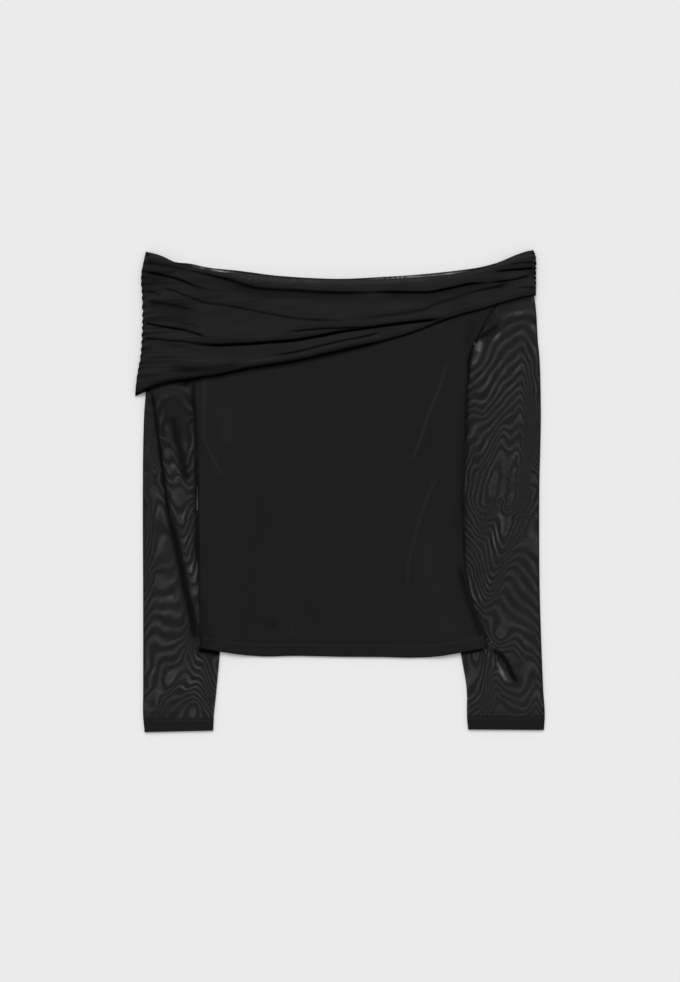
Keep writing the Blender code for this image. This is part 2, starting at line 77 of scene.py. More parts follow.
# Side seams and hem of the body, and the outer and inner folds of the sleeves
BodyRow = namedtuple("BodyRow", "height left right")
BODY_SIDES = (
    BodyRow(-204, -181.3, 191.3),
    BodyRow(-190, -181.8, 190.0),
    BodyRow(-167, -182.5, 180.8),
    BodyRow(-134, -183.4, 170.0),
    BodyRow(-103, -184.0, 164.0),
    BodyRow(-70, -184.4, 161.4),
    BodyRow(-30, -184.6, 159.4),
    BodyRow(0, -184.7, 158.8),
    BodyRow(66, -186.2, 162.2),
    BodyRow(109, -188.8, 164.0),
    BodyRow(145, -191.7, 165.9),
    BodyRow(178, -195.0, 168.9),
    BodyRow(186, -196.2, 171.6),
    BodyRow(192, -198.5, 174.4),
    BodyRow(211, -204.9, 185.4),
    BodyRow(243, -216.3, 201.7),
    BodyRow(261, -223.4, 209.5),
    BodyRow(281, -230.9, 217.3),
    BodyRow(294, -235.6, 222.4),
)
HemPoint = namedtuple("HemPoint", "across height")
HEM_LINE = (
    HemPoint(-181.3, -204.0),
    HemPoint(-156, -208.5),
    HemPoint(-117, -213.8),
    HemPoint(-98, -215.0),
    HemPoint(-64, -214.2),
    HemPoint(0, -215.3),
    HemPoint(60, -215.8),
    HemPoint(96, -216.5),
    HemPoint(122, -215.3),
    HemPoint(154, -210.4),
    HemPoint(174, -206.6),
    HemPoint(191.3, -204.0),
)
SleeveRow = namedtuple("SleeveRow", "height outer inner")
SLEEVE_ROWS = dict(
    left=(
        SleeveRow(-312, -254.0, -164.9),
        SleeveRow(-295, -255.7, -164.0),
        SleeveRow(-259, -255.8, -160.4),
        SleeveRow(-210, -255.8, -155.9),
        SleeveRow(-129, -255.9, -148.0),
        SleeveRow(-25, -256.3, -137.6),
        SleeveRow(60, -255.7, -132.4),
        SleeveRow(100, -254.5, -135.0),
        SleeveRow(127, -252.4, -154.5),
        SleeveRow(148, -251.2, -180.5),
        SleeveRow(166, -250.7, -195.8),
        SleeveRow(186, -250.2, -198.4),
        SleeveRow(294, -247.0, -236.4),
    ),
    right=(
        SleeveRow(-310, 264.9, 166.5),
        SleeveRow(-295, 266.0, 165.0),
        SleeveRow(-259, 264.1, 164.5),
        SleeveRow(-211, 262.1, 156.8),
        SleeveRow(-129, 259.5, 144.5),
        SleeveRow(-51, 258.8, 135.4),
        SleeveRow(21, 259.3, 130.2),
        SleeveRow(60, 260.4, 128.9),
        SleeveRow(99, 261.0, 130.2),
        SleeveRow(131, 260.6, 138.0),
        SleeveRow(160, 259.9, 154.9),
        SleeveRow(178, 258.8, 170.0),
        SleeveRow(192, 257.3, 175.6),
        SleeveRow(232, 254.8, 196.5),
        SleeveRow(250, 252.6, 205.5),
        SleeveRow(268, 247.6, 213.0),
        SleeveRow(294, 245.4, 223.2),
    ),
)
CUFF_ENDS = dict(left=(-313.3, -311.2), right=(-310.4, -309.8))

# Edges of the band, and its gathered ends
BandRow = namedtuple("BandRow", "across back_top front_top lower")
BAND_EDGES = (
    BandRow(-266, 309.5, 309.5, 123.5),
    BandRow(-252, 309.5, 310.5, 129.5),
    BandRow(-246, 308.5, 309.5, 133.0),
    BandRow(-232, 304.5, 305.5, 138.0),
    BandRow(-214, 297.5, 297.0, 141.5),
    BandRow(-195, 295.5, 291.5, 144.0),
    BandRow(-175, 291.0, 287.5, 148.0),
    BandRow(-155, 288.5, 284.5, 151.0),
    BandRow(-135, 286.5, 283.0, 156.0),
    BandRow(-115, 284.0, 281.0, 160.0),
    BandRow(-97, 281.5, 279.0, 162.5),
    BandRow(-50, 277.5, 276.0, 170.5),
    BandRow(0, 275.8, 274.8, 182.0),
    BandRow(58, 278.5, 275.5, 195.5),
    BandRow(97, 281.0, 277.5, 207.0),
    BandRow(130, 284.0, 280.0, 220.0),
    BandRow(156, 287.0, 283.5, 228.5),
    BandRow(182, 291.0, 289.0, 235.5),
    BandRow(208, 298.0, 298.0, 243.5),
    BandRow(228, 305.5, 306.5, 249.0),
    BandRow(243, 310.5, 311.5, 252.5),
    BandRow(256, 312.5, 313.5, 254.0),
)
BandEnd = namedtuple("BandEnd", "height across")
BAND_LEFT_END = (
    BandEnd(309.5, -252.4),
    BandEnd(297, -255.2),
    BandEnd(284, -257.8),
    BandEnd(250, -256.8),
    BandEnd(222, -256.4),
    BandEnd(196, -257.4),
    BandEnd(175, -259.0),
    BandEnd(155, -262.6),
    BandEnd(140, -264.8),
    BandEnd(124, -266.0),
)
BAND_RIGHT_END = (
    BandEnd(313.2, 250.9),
    BandEnd(308, 253.2),
    BandEnd(295, 254.6),
    BandEnd(283, 254.0),
    BandEnd(270, 254.5),
    BandEnd(254, 254.3),
)
# Heights of the lower and upper corner of each end
BAND_CORNERS = dict(left=(124.0, 309.5), right=(254.0, 313.2))
GATHER_SEED = dict(left=21, right=22)

# Creases between the band's folds. `shade` is how dark the crease's painted shade is, `above` and `below` are
# how dark the painted shade makes the cloth toward it on each side, and it fades in over `fade_left` and out
# over `fade_right`
Crease = namedtuple("Crease", "depth shade above below half_width fade_left fade_right line")
BAND_CREASES = (
    Crease(0.5, 0.4, 0.15, 0.15, 6.0, 12, 30, ((-256, 296), (-236, 293.5), (-214, 290), (-195, 286),
        (-175, 281))),
    Crease(0.7, 0.75, 0.2, 0.2, 5.0, 46, 40, ((-214, 290), (-195, 286), (-175, 281.6), (-156, 276.8),
        (-136, 271.5), (-121, 266.3), (-100, 262.2))),
    Crease(1.0, 0.7, 0.3, 0.5, 4.4, 50, 60, ((-175, 281.3), (-156, 276.4), (-136, 271.5), (-121, 266.3),
        (-107, 262.8), (-87, 261.2), (-58, 259.8), (-29, 258), (0, 257), (29, 256.9), (68, 258.2))),
    Crease(1.2, 1.0, 0.2, 0.45, 3.8, 60, 40, ((20, 257), (68, 258), (98, 257.6), (117, 257.8), (133, 261),
        (148, 264), (166, 268.2), (186, 269.7), (205, 271))),
    Crease(0.6, 0.75, 0.1, 0.1, 3.2, 25, 10, ((186, 270), (205, 271.5), (224, 273.8), (238, 277.4),
        (250, 280.5))),
    Crease(0.9, 0.8, 0.15, 0.15, 4.2, 4, 60, ((-257, 284.2), (-243.5, 282.8), (-228, 279.3), (-214, 275.8),
        (-200, 271.2), (-189, 265.7), (-179, 262.7), (-164, 260.5), (-145, 257.5))),
    Crease(0.55, 0.5, 0.12, 0.05, 3.4, 16, 60, ((-235, 263.3), (-224, 262), (-214, 258.8), (-204, 254.9),
        (-189, 249), (-171, 243.2), (-156, 241.8), (-136, 238.4), (-117, 234.5), (-97, 230.6), (-78, 226.7),
        (-58, 223.7), (-39, 222.2), (-19, 221), (0, 221), (29, 223.2))),
    Crease(0.5, 0.3, 0.15, 0.1, 6.0, 60, 20, ((0, 221.5), (29, 223.3), (55, 226.5), (78, 229.2),
        (98, 232.5), (111, 235.4), (121, 240.3), (137, 246.2), (156, 251), (176, 258.8))),
    Crease(0.6, 0.4, 0.1, 0.1, 3.6, 30, 20, ((150, 250), (176, 258.8), (195, 262.7), (211, 266.6),
        (226, 272.5))),
    Crease(0.45, 0.6, 0.0, 0.0, 2.6, 6, 10, ((-252, 258.8), (-243.5, 257.9), (-234, 254.3),
        (-228, 253.6))),
    Crease(0.3, 0.35, 0.0, 0.0, 2.0, 4, 8, ((-256, 252.4), (-248, 254.6), (-240, 254.4))),
    Crease(0.5, 0.45, 0.25, 0.4, 5.0, 8, 34, ((-250, 246.5), (-234, 243.8), (-214, 240.3), (-195, 236),
        (-174, 229))),
    Crease(0.2, 0.35, 0.0, 0.0, 2.4, 4, 14, ((-252, 247.2), (-243, 245.4), (-230, 243))),
    Crease(0.25, 0.3, 0.05, 0.05, 3.0, 10, 16, ((-214, 219), (-200, 217), (-190, 214.5), (-175, 211))),
    Crease(0.8, 0.9, 0.1, 0.05, 3.4, 6, 14, ((-255, 218), (-241.5, 215.3), (-228, 213), (-214, 210.5),
        (-200, 208), (-189, 204.8), (-179, 201.3), (-169, 197))),
    Crease(0.6, 0.65, 0.1, 0.05, 2.9, 6, 10, ((-255.5, 198.4), (-234, 196.2), (-214, 194.5), (-195, 192.6),
        (-179, 190.4), (-163.5, 189))),
    Crease(1.3, 1.15, 0.4, 0.12, 4.9, 60, 26, ((-214, 194.5), (-195, 192), (-179, 190), (-163.5, 189),
        (-136, 189.8), (-117, 190.8), (-97, 192.3), (-78, 193.8), (-58, 195.4), (-39, 198.6), (-19, 202.3),
        (0, 206.3), (29, 210.4), (59, 214.5), (88, 218.3), (117, 221.4), (137, 223.3))),
    Crease(0.5, 0.8, 0.3, 0.05, 3.0, 26, 40, ((-75, 205.5), (-58, 207.2), (-39, 209), (-19, 210.7),
        (0, 211), (29, 212.6), (55, 215.5))),
    Crease(0.6, 0.7, 0.05, 0.05, 3.2, 40, 20, ((-100, 174.5), (-68, 178.3), (-48, 182.5), (-29, 187.3),
        (-13.5, 191), (0, 194.2), (20, 198), (37, 201.3), (49, 205.2), (60, 209))),
    Crease(0.7, 0.85, 0.1, 0.05, 3.4, 16, 4, ((196, 283.5), (215, 286), (234, 287.5), (252, 289.5))),
    Crease(0.5, 0.6, 0.1, 0.0, 3.0, 12, 4, ((216, 292.2), (234, 296), (252, 297))),
    Crease(0.3, 0.35, 0.0, 0.0, 2.4, 8, 4, ((226, 262.5), (240, 263.5), (254, 266.5))),
    Crease(0.25, 0.3, 0.0, 0.0, 2.0, 4, 12, ((-254, 231.5), (-246, 230), (-236, 229.5))),
    Crease(0.25, 0.35, 0.0, 0.0, 2.0, 4, 12, ((-256, 187.5), (-247, 185), (-238, 184.5))),
    Crease(0.3, 0.3, 0.3, 0.2, 13.0, 24, 26, ((-226, 160), (-206, 158), (-185, 156.5), (-165, 157.5),
        (-145, 160), (-118, 165))),
)
# How steep a crease is above and below its middle, how wide its core is, all as shares of its half width,
# and how far the painted shade beside it reaches
CREASE_STEEP, CREASE_GENTLE, CREASE_CORE = 0.75, 1.35, 0.36
CREASE_DARK_ABOVE, CREASE_DARK_BELOW, CREASE_MIDDLE = 12.0, 18.0, 1.5
# The thin raised fold low on the band
RIDGE_LINE = (
    (-256, 170), (-244, 171.2), (-214, 170.8), (-191, 169), (-165, 166.8), (-136, 166.6), (-111, 168.5),
    (-87, 173), (-68, 177),
)

# Soft folds of the front panel: height above the cloth beside them and half width, along a line
SoftFold = namedtuple("SoftFold", "rise half_width line")
BODY_FOLDS = (
    SoftFold(1.6, 12.0, ((138, 142), (122, 96), (102, 45), (90, 0), (78, -45))),
    SoftFold(1.3, 11.0, ((127, 20), (112, -15), (97, -63), (90, -95), (86, -122))),
    SoftFold(0.9, 9.0, ((-176, 140), (-174, 90), (-171, 55), (-160, 30), (-148, 10))),
    SoftFold(1.4, 13.0, ((150, -60), (156, -100), (166, -140), (180, -175))),
)

# Lines of painted highlight and painted shade on the front panel, along its folds and near its edges: strength
# and half width, along a line
Tone = namedtuple("Tone", "strength half_width line")
BODY_HIGHLIGHTS = (
    Tone(0.17, 3.4, ((138, 167), (131, 140), (122, 118), (113, 95), (105, 69), (94, 40))),
    Tone(0.12, 4.0, ((126, 19), (113, -9), (103, -37), (96, -65), (90, -90), (87, -120))),
    Tone(0.13, 4.5, ((-175.5, 150), (-176, 66), (-170, 53), (-152, 18))),
    Tone(0.05, 30.0, ((108, -64), (125, -130), (140, -194))),
    Tone(0.08, 16.0, ((-66, -182), (-58, -179))),
    Tone(0.05, 24.0, ((-150, 110), (-140, 60))),
)
BODY_SHADES = (
    Tone(0.5, 7.5, ((155, -98), (160, -118), (166, -140), (174, -163), (184, -190))),
    Tone(0.45, 9.0, ((-169, -190), (-166, -194))),
    Tone(0.2, 17.0, ((-92, -170), (-85, -177))),
    Tone(0.3, 14.0, ((-181, -140), (-179, -170), (-175, -204))),
    Tone(0.15, 12.0, ((163, 130), (160, 60), (156, 0), (154, -60))),
    Tone(0.22, 11.0, ((171, 222), (170, 204), (163, 190))),
)

# Bright fringes of the sleeves, where the two layers of mesh cross. Lines with the same number are the same
# fringe, and the fringes between two lines follow from their numbers
Fringe = namedtuple("Fringe", "number line")
FRINGES = dict(
    right=(
        Fringe(1, ((208, 222), (212, 227), (222, 230), (233, 232), (247, 233.5))),
        Fringe(2, ((168, 147), (176, 155), (185, 163), (190, 172), (193, 181), (196, 189), (204, 201),
            (213, 209), (223, 215), (237, 219.5), (246, 217.5))),
        Fringe(3, ((167, 135), (175, 141), (184, 150), (191, 159), (199, 170), (205, 183), (213, 193),
            (222, 199), (232, 204), (237, 207), (241, 202), (247, 193), (253, 184))),
        Fringe(4, ((167, 124), (172, 128), (182, 131.5), (188, 137), (194, 145), (197, 152), (205, 162),
            (212, 172), (220, 181), (228, 186), (237, 193), (243, 180), (250, 152), (255, 132))),
        Fringe(5, ((167, 113), (173, 117.5), (184, 115), (192, 121), (198, 132), (203, 142), (210, 151),
            (217, 161), (229, 170), (237, 178), (241, 170), (246, 150), (251, 116), (253, 96))),
        Fringe(6, ((168, 105), (177, 106.5), (186, 103.5), (194, 113), (202, 124), (209, 137), (217, 145),
            (226, 152.5), (233, 161), (237, 164.5), (240, 155), (244, 130), (251, 80))),
        Fringe(7, ((170, 97.5), (182, 97), (192, 101), (202, 113), (210, 122), (219, 132), (227, 140),
            (232, 145), (237, 148), (240, 138), (249, 57))),
        Fringe(8, ((166, 68), (172, 73), (175, 82), (187, 89), (196, 94.5), (203, 103), (211, 111),
            (218, 121), (228, 130), (236, 134), (239, 126), (248, 37))),
        Fringe(9, ((168, 45), (170, 57), (177, 61), (183, 71), (194, 81), (203, 91), (210, 99), (219, 109),
            (227, 116), (236, 122.5), (239, 112), (245, 22), (248, 14), (252, 21))),
        Fringe(10, ((162, -1), (164, 10), (167, 32), (171, 44.5), (180, 48), (188, 57), (192, 66),
            (199, 76), (208, 89), (215, 96), (227, 103), (236, 110), (239, 100), (244, 8), (251, -5),
            (253, 2))),
        Fringe(11, ((166.5, -5), (169, 8), (170, 20), (173, 31), (180, 33), (185, 41), (191, 50), (196, 60),
            (201, 70), (206, 78), (211, 84), (219, 83), (226, 87), (233, 94), (235, 98), (238, 88))),
        Fringe(12, ((172, -8), (174, 3), (177, 17), (182, 27), (188, 36), (194, 45), (199, 55), (204, 66),
            (208, 73), (212, 77), (219, 70.5), (227, 73.5), (236, 78), (238, 70))),
        Fringe(13, ((179.5, -20), (180, -2), (183, 12), (188, 26), (193, 36), (199, 46), (203, 56),
            (207, 63), (210, 67), (213, 61), (219, 54.5), (225, 57), (231, 61), (234, 55))),
        Fringe(14, ((187, -18), (187.5, -8), (189.5, 10), (193, 20), (197, 30), (201, 38), (205, 45),
            (210, 50.5), (213, 44), (214, 30))),
        Fringe(14, ((210, -6), (211, 3), (213, 14), (217, 25), (221, 35), (225, 44), (230, 50),
            (233, 44))),
        Fringe(15, ((195, -4), (194.5, 6), (198, 16), (202, 24), (202, 8), (201, -3), (198, -8))),
        Fringe(15, ((217, -19), (221, -14), (225, -3), (227, 12), (228.5, 28))),
        Fringe(13, ((190, -25), (203, -18))),
        Fringe(12, ((172, -12), (175, -20), (178, -27), (184, -34), (196, -33), (207, -18), (209, -32),
            (211, -47), (213.5, -57), (218, -52), (221, -42), (224, -30))),
        Fringe(11, ((167, -12), (169, -18), (175, -29), (180, -38), (190, -43), (200, -42), (203, -50),
            (206, -64), (209, -70), (212, -71.5), (216, -69), (220, -61), (224, -50))),
        Fringe(10, ((162, -11), (166, -24), (172, -36), (175, -43), (182, -51), (196, -50), (200, -64),
            (204, -78), (206, -83), (209, -85), (213, -83), (217, -78), (221, -68), (226, -57))),
        Fringe(9, ((162, -34), (167, -40), (171, -45), (180, -57), (192, -62), (194, -70), (197, -83),
            (199, -92), (204, -97.5), (209, -94), (215, -86), (221, -75), (228, -62), (252, -22))),
        Fringe(8, ((163, -44), (167, -49), (171, -53), (179, -62), (188, -69), (190, -77), (191, -88),
            (194, -103), (198, -108), (201, -109), (205, -105), (211, -98), (217, -88), (224, -77),
            (234, -70))),
        Fringe(8, ((250, -40), (250, -60), (254, -78))),
        Fringe(7, ((166, -58), (172, -64), (177, -71), (184, -81), (187, -92), (189, -105), (192, -113),
            (196, -118.5), (200, -117), (204, -113), (209, -107), (215, -97), (221, -89), (228, -84),
            (235, -82.5), (241, -85), (246, -90), (251, -96), (254, -105))),
        Fringe(6, ((163, -64), (170, -71), (175, -77), (179, -86), (183, -100), (187, -115), (191, -123),
            (194, -127.5), (198, -125), (204, -119), (210, -109), (216, -100), (222, -95.5), (229, -94.5),
            (236, -100), (243, -108), (250, -117), (255, -127))),
        Fringe(5, ((164, -74), (169, -79), (174, -86), (178, -96), (181, -109), (185, -121), (190, -132),
            (195, -134), (202, -129), (208, -120), (214, -111), (220, -106), (225, -107), (231, -114),
            (236, -122), (243, -131), (250, -136), (255, -144))),
        Fringe(4, ((163, -83), (168, -88), (173, -95), (176, -106), (180, -118), (184, -130), (189, -138.5),
            (196, -139), (203, -135), (209, -128), (214, -121), (218, -121), (223, -129), (230, -139),
            (238, -147), (247, -151.5), (254, -160))),
        Fringe(3, ((164, -93), (170, -100), (172, -110), (176, -121), (180, -132), (183, -141), (188, -147),
            (194, -145.5), (200, -141), (207, -137), (213, -141.5), (220, -150), (230, -158), (243, -166),
            (253, -173), (258, -182))),
        Fringe(2, ((165, -103), (168, -112), (170, -124), (173, -136), (179, -146), (184, -152),
            (189, -156), (196, -152.5), (203, -151), (208, -156), (213, -165), (221, -171), (231, -175),
            (243, -181), (254, -186), (258, -194))),
        Fringe(2, ((204, -186), (209, -190), (213, -183))),
        Fringe(1, ((176, -150), (182, -157), (187, -164), (192, -163), (196, -170), (196.5, -180),
            (199, -190), (205, -195.5), (213, -195.5), (220, -191), (228, -186), (234, -188), (240, -195),
            (248, -199), (255, -208))),
        Fringe(0, ((179, -162), (185, -171), (189, -179), (192, -187), (197, -196), (205, -201),
            (214, -200), (225, -196), (231, -199), (237, -207), (244, -211), (252, -215), (258, -224))),
        Fringe(-1, ((184, -175), (187, -185), (192, -193), (198, -203), (206, -206.5), (216, -205.5),
            (225, -204.5), (231, -209), (236, -217), (239, -230))),
        Fringe(-2, ((216, -213), (222, -217), (229, -224))),
        Fringe(5, ((174, -212), (177.5, -217.5), (179.5, -208))),
        Fringe(4, ((167, -214), (169, -223), (173, -233), (179, -237.5), (182, -228), (184, -212))),
        Fringe(3, ((188.5, -206), (187.5, -218), (185, -234), (181, -248), (173, -266))),
        Fringe(2, ((193, -205), (192.5, -214), (191, -226), (188.5, -242), (186, -254), (180, -268),
            (175.5, -273))),
        Fringe(1, ((199, -212), (199, -224), (196, -233), (192, -243), (190.5, -252), (187, -269),
            (176, -281))),
        Fringe(0, ((204, -221), (208, -231), (212, -239), (216, -246))),
        Fringe(0, ((197, -238), (194, -246), (193, -258), (190, -272), (183, -283), (177, -288))),
        Fringe(-1, ((182, -292), (188, -282), (194, -268), (196, -258), (198, -247), (203, -242),
            (210, -250), (214, -254), (224, -257.5), (231, -260), (236, -257), (240, -250), (242, -238),
            (245, -227), (250, -224), (255, -229), (260, -241))),
        Fringe(-2, ((189, -289), (195, -275), (198, -264), (201, -254), (212, -262), (219, -266),
            (228, -270), (234, -272), (240, -267), (246, -260), (251, -252), (255, -246), (259, -250))),
        Fringe(-3, ((194, -290), (199, -277), (201, -266), (204, -262.5), (209, -268), (215, -272),
            (223, -277), (229, -280), (235, -283), (241, -282), (246, -277), (251, -268), (255, -260),
            (258, -265), (261, -275))),
        Fringe(-4, ((205, -281), (214, -287), (222, -290), (229, -292), (236, -290), (244, -289),
            (249, -283), (254, -275), (258, -279), (262, -287))),
        Fringe(-5, ((232, -298), (240, -296), (248, -293), (255, -286.5), (259, -291))),
    ),
    left=(
        Fringe(-9, ((-238, 112), (-225, 124), (-206, 121), (-197, 107))),
        Fringe(-8, ((-234, 83), (-232, 93), (-228, 104), (-218, 116), (-209, 112), (-206, 98), (-203, 80),
            (-201.5, 56))),
        Fringe(-7, ((-233, 70), (-226, 83), (-219, 67), (-214, 54), (-209, 42), (-204, 36), (-198, 40),
            (-195.5, 50), (-193.5, 83))),
        Fringe(-6, ((-231, 56), (-226, 46), (-222, 53), (-217, 48), (-212, 41), (-206, 30), (-200, 26),
            (-195, 28), (-190, 42))),
        Fringe(-5, ((-228, 35), (-223, 25), (-217, 33), (-212, 30), (-207, 22), (-200, 15), (-192, 19))),
        Fringe(-4, ((-225, 17), (-220, 12), (-213, 13), (-209, 19), (-205, 15), (-199, 5), (-190, 6))),
        Fringe(-3, ((-219, 0), (-216, -7), (-212.5, -15), (-209, -8), (-206, 2), (-203, -5), (-197, -9),
            (-190, -5))),
        Fringe(-2, ((-250, -60), (-248, -20), (-246, 20), (-245, 40), (-242, 58))),
        Fringe(-2, ((-211, -33), (-207, -42), (-204, -36), (-201, -27), (-198, -19), (-193, -14))),
        Fringe(-1, ((-210, -48), (-205.5, -56.5), (-201, -48), (-197, -34))),
        Fringe(-1, ((-247, -70), (-245, -50), (-243, -25), (-242.5, 5), (-240, 25))),
        Fringe(0, ((-207, -62), (-204, -68.5), (-199, -59), (-194, -48))),
        Fringe(0, ((-246, -85), (-243, -66), (-240.5, -48), (-238, -30), (-234, -20), (-230, -28),
            (-228, -40))),
        Fringe(1, ((-206, -73), (-200, -79.5), (-197, -69), (-191, -55))),
        Fringe(1, ((-247, -112), (-244, -95), (-239, -82), (-235, -70), (-229, -60), (-225, -64),
            (-222, -78))),
        Fringe(2, ((-204, -84), (-199, -90), (-195, -79), (-189, -65))),
        Fringe(2, ((-249, -125), (-245, -110), (-242, -103), (-236, -100), (-228, -98), (-220, -97),
            (-216, -88))),
        Fringe(3, ((-200, -98), (-195, -105.5), (-191, -93), (-188, -80))),
        Fringe(3, ((-248, -136), (-244, -124), (-240, -119), (-234, -124), (-230, -121), (-225, -114),
            (-219, -116.5), (-214, -115), (-212, -103))),
        Fringe(4, ((-198, -110), (-191, -118.5), (-188.5, -109), (-186, -96))),
        Fringe(4, ((-250, -155), (-246, -147), (-241, -140.5), (-233, -142.5), (-225, -139.5),
            (-220, -137.5), (-214, -142), (-209, -138), (-208, -122))),
        Fringe(5, ((-194, -124), (-189, -133), (-186, -124))),
        Fringe(5, ((-250, -168), (-246, -161), (-239, -156), (-230, -159), (-222, -157), (-213, -160),
            (-207, -158), (-203, -148))),
        Fringe(6, ((-190, -150), (-187, -160), (-184.5, -168))),
        Fringe(6, ((-250, -182), (-246, -175), (-240, -171), (-233, -175), (-226, -179), (-215, -180),
            (-206, -178), (-200, -172), (-198.5, -160))),
        Fringe(7, ((-188, -172), (-185, -182), (-183, -192))),
        Fringe(7, ((-250, -228), (-250, -210), (-248.5, -197), (-242, -190.5), (-235, -193.5), (-229, -198),
            (-220, -197), (-212, -194), (-203, -189), (-198, -182), (-196, -173))),
        Fringe(8, ((-248, -257), (-247, -244), (-243, -236), (-240, -226), (-238, -216), (-231, -212),
            (-222, -210.5), (-213, -207), (-207, -200), (-200, -193), (-195, -187))),
        Fringe(8, ((-238, -294), (-235, -281), (-231, -271), (-226, -266), (-219, -260), (-212, -255),
            (-206, -253.5), (-198, -258), (-191, -255), (-187, -254), (-180, -260), (-173, -269))),
        Fringe(9, ((-195, -199), (-201, -205), (-206, -213), (-210, -220), (-216, -223.5), (-225, -224.5),
            (-231, -228), (-233, -240), (-232, -256), (-226, -262), (-219, -256), (-211, -247),
            (-204, -240), (-199, -239), (-193, -248.5), (-187, -247), (-182, -250), (-176, -258),
            (-172, -266))),
        Fringe(9, ((-247, -284), (-244, -262), (-242, -260), (-239, -280))),
        Fringe(10, ((-192, -201), (-198, -208), (-201, -219), (-205, -229), (-213, -234), (-222, -238),
            (-224, -250), (-217, -244))),
        Fringe(10, ((-197, -224), (-193, -234), (-189, -238.5), (-181, -241), (-175, -251), (-172, -259))),
        Fringe(11, ((-191, -200), (-193, -208), (-193, -217), (-190, -225), (-185, -229.5), (-179, -231.5),
            (-175, -240), (-172, -250))),
        Fringe(12, ((-188, -203), (-188.5, -211), (-185, -218), (-180, -219.5), (-176, -224),
            (-173, -234))),
        Fringe(13, ((-184, -203), (-182, -209), (-176, -216), (-171, -226))),
        Fringe(7, ((-233, -292), (-228, -280), (-222, -271), (-216, -268), (-206, -267), (-198, -262.5),
            (-191, -260.5), (-184, -264), (-177, -272), (-172, -280))),
        Fringe(6, ((-226, -293), (-219, -284), (-211, -278), (-204, -272), (-197, -269), (-190, -267.5),
            (-183, -272), (-177, -281), (-172, -289))),
        Fringe(5, ((-206, -291), (-202, -281), (-196, -275), (-189, -273), (-184, -277), (-181, -290))),
        Fringe(4, ((-191, -284), (-191, -290))),
    ),
)
# Where the fringes stand out or fade: place, reach and how much brighter
Patch = namedtuple("Patch", "across height reach_across reach_height gain")
FRINGE_GAINS = dict(
    right=(
        Patch(204, 201, 5, 5, 0.8), Patch(252, 213, 4, 6, 0.6), Patch(233, 232, 6, 3, 0.5),
        Patch(233, 206, 8, 4, 0.5), Patch(224, 137, 6, 6, 0.5), Patch(230, 157, 5, 5, 0.6),
        Patch(190, 152, 8, 8, 0.35), Patch(188, 58, 5, 7, 0.7), Patch(255, 135, 4, 11, 0.6),
        Patch(164, 10, 3, 8, 0.6), Patch(194, 22, 5, 20, 0.4), Patch(216, 40, 8, 10, -0.6),
        Patch(209, -38, 3, 16, 0.9), Patch(204, -56, 4, 10, 1.5), Patch(200, -66, 3, 12, 1.2),
        Patch(196, -80, 3, 14, 0.5), Patch(195, -116, 5, 4, 1.2), Patch(191, -125, 3, 5, 1.2),
        Patch(187, -132, 4, 5, 0.8), Patch(182, -138, 4, 5, 1.1), Patch(169, -120, 4, 18, 0.9),
        Patch(173, -138, 6, 6, 1.2), Patch(176, -150, 4, 4, 1.1), Patch(193, -196, 4, 7, 1.2),
        Patch(193, -209, 3, 7, 1.3), Patch(188, -207, 3, 4, 1.2), Patch(199, -219, 3, 9, 0.6),
        Patch(176, -271, 7, 4, 0.9), Patch(178, -287, 6, 4, 0.6), Patch(250, 20, 5, 30, 0.2),
        Patch(205, 224, 9, 12, -0.9), Patch(198, 236, 14, 10, -0.9), Patch(225, 245, 22, 7, -0.9),
        Patch(186, 198, 8, 9, -0.8), Patch(243.5, 60, 4.5, 80, -0.8), Patch(238, -25, 9, 40, -0.6),
        Patch(199, -24, 10, 12, -0.8), Patch(187, -50, 7, 9, -0.8), Patch(226, -65, 12, 10, -0.4),
        Patch(228, -236, 9, 13, -0.9), Patch(212, -222, 9, 7, -0.8), Patch(208, -290, 16, 8, -0.5),
        Patch(225, -140, 26, 50, -0.25), Patch(205, 120, 40, 60, 0.4), Patch(212, 2, 20, 30, -0.35),
    ),
    left=(
        Patch(-226, 80, 5, 5, 0.5), Patch(-217, 33, 5, 4, 0.8), Patch(-211, 17, 6, 5, 0.4),
        Patch(-208, -6, 5, 8, -0.3), Patch(-203, -32, 4, 9, 0.8), Patch(-200, -62, 4, 7, 1.2),
        Patch(-196, -66, 3, 6, 1.2), Patch(-193, -98, 3, 8, 1.3), Patch(-188, -106, 3, 10, 1.4),
        Patch(-189, -132, 4, 6, 0.6), Patch(-193, 65, 3, 24, 0.6), Patch(-237, -26, 4, 9, 0.7),
        Patch(-220, -70, 8, 14, -0.9), Patch(-221, -138, 5, 4, 0.7), Patch(-228, -158, 16, 5, 0.3),
        Patch(-243, -236, 5, 7, 0.8), Patch(-217, -241, 8, 8, 0.5), Patch(-204, -256, 5, 4, 1.1),
        Patch(-184, -218, 6, 4, 1.1), Patch(-188, -256, 10, 16, 0.9), Patch(-191, -286, 7, 6, 0.2),
        Patch(-186, -228, 6, 5, 0.5), Patch(-250, 60, 6, 90, -0.4), Patch(-214, 104, 18, 24, -0.8),
        Patch(-211, 70, 8, 24, -0.7), Patch(-206, 42, 5, 12, -0.7), Patch(-235, -45, 6, 8, -0.3),
        Patch(-222, 128, 20, 5, -0.8), Patch(-210, -80, 5, 30, -0.9), Patch(-203, -130, 6, 28, -0.95),
        Patch(-194, -170, 6, 24, -0.8), Patch(-186, -150, 3, 10, -0.5), Patch(-233, -285, 12, 10, -0.3),
        Patch(-246, 30, 8, 90, -0.3), Patch(-245, -60, 8, 50, -0.25), Patch(-230, -118, 12, 10, -0.2),
        Patch(-224, -85, 8, 14, -0.4),
    ),
)
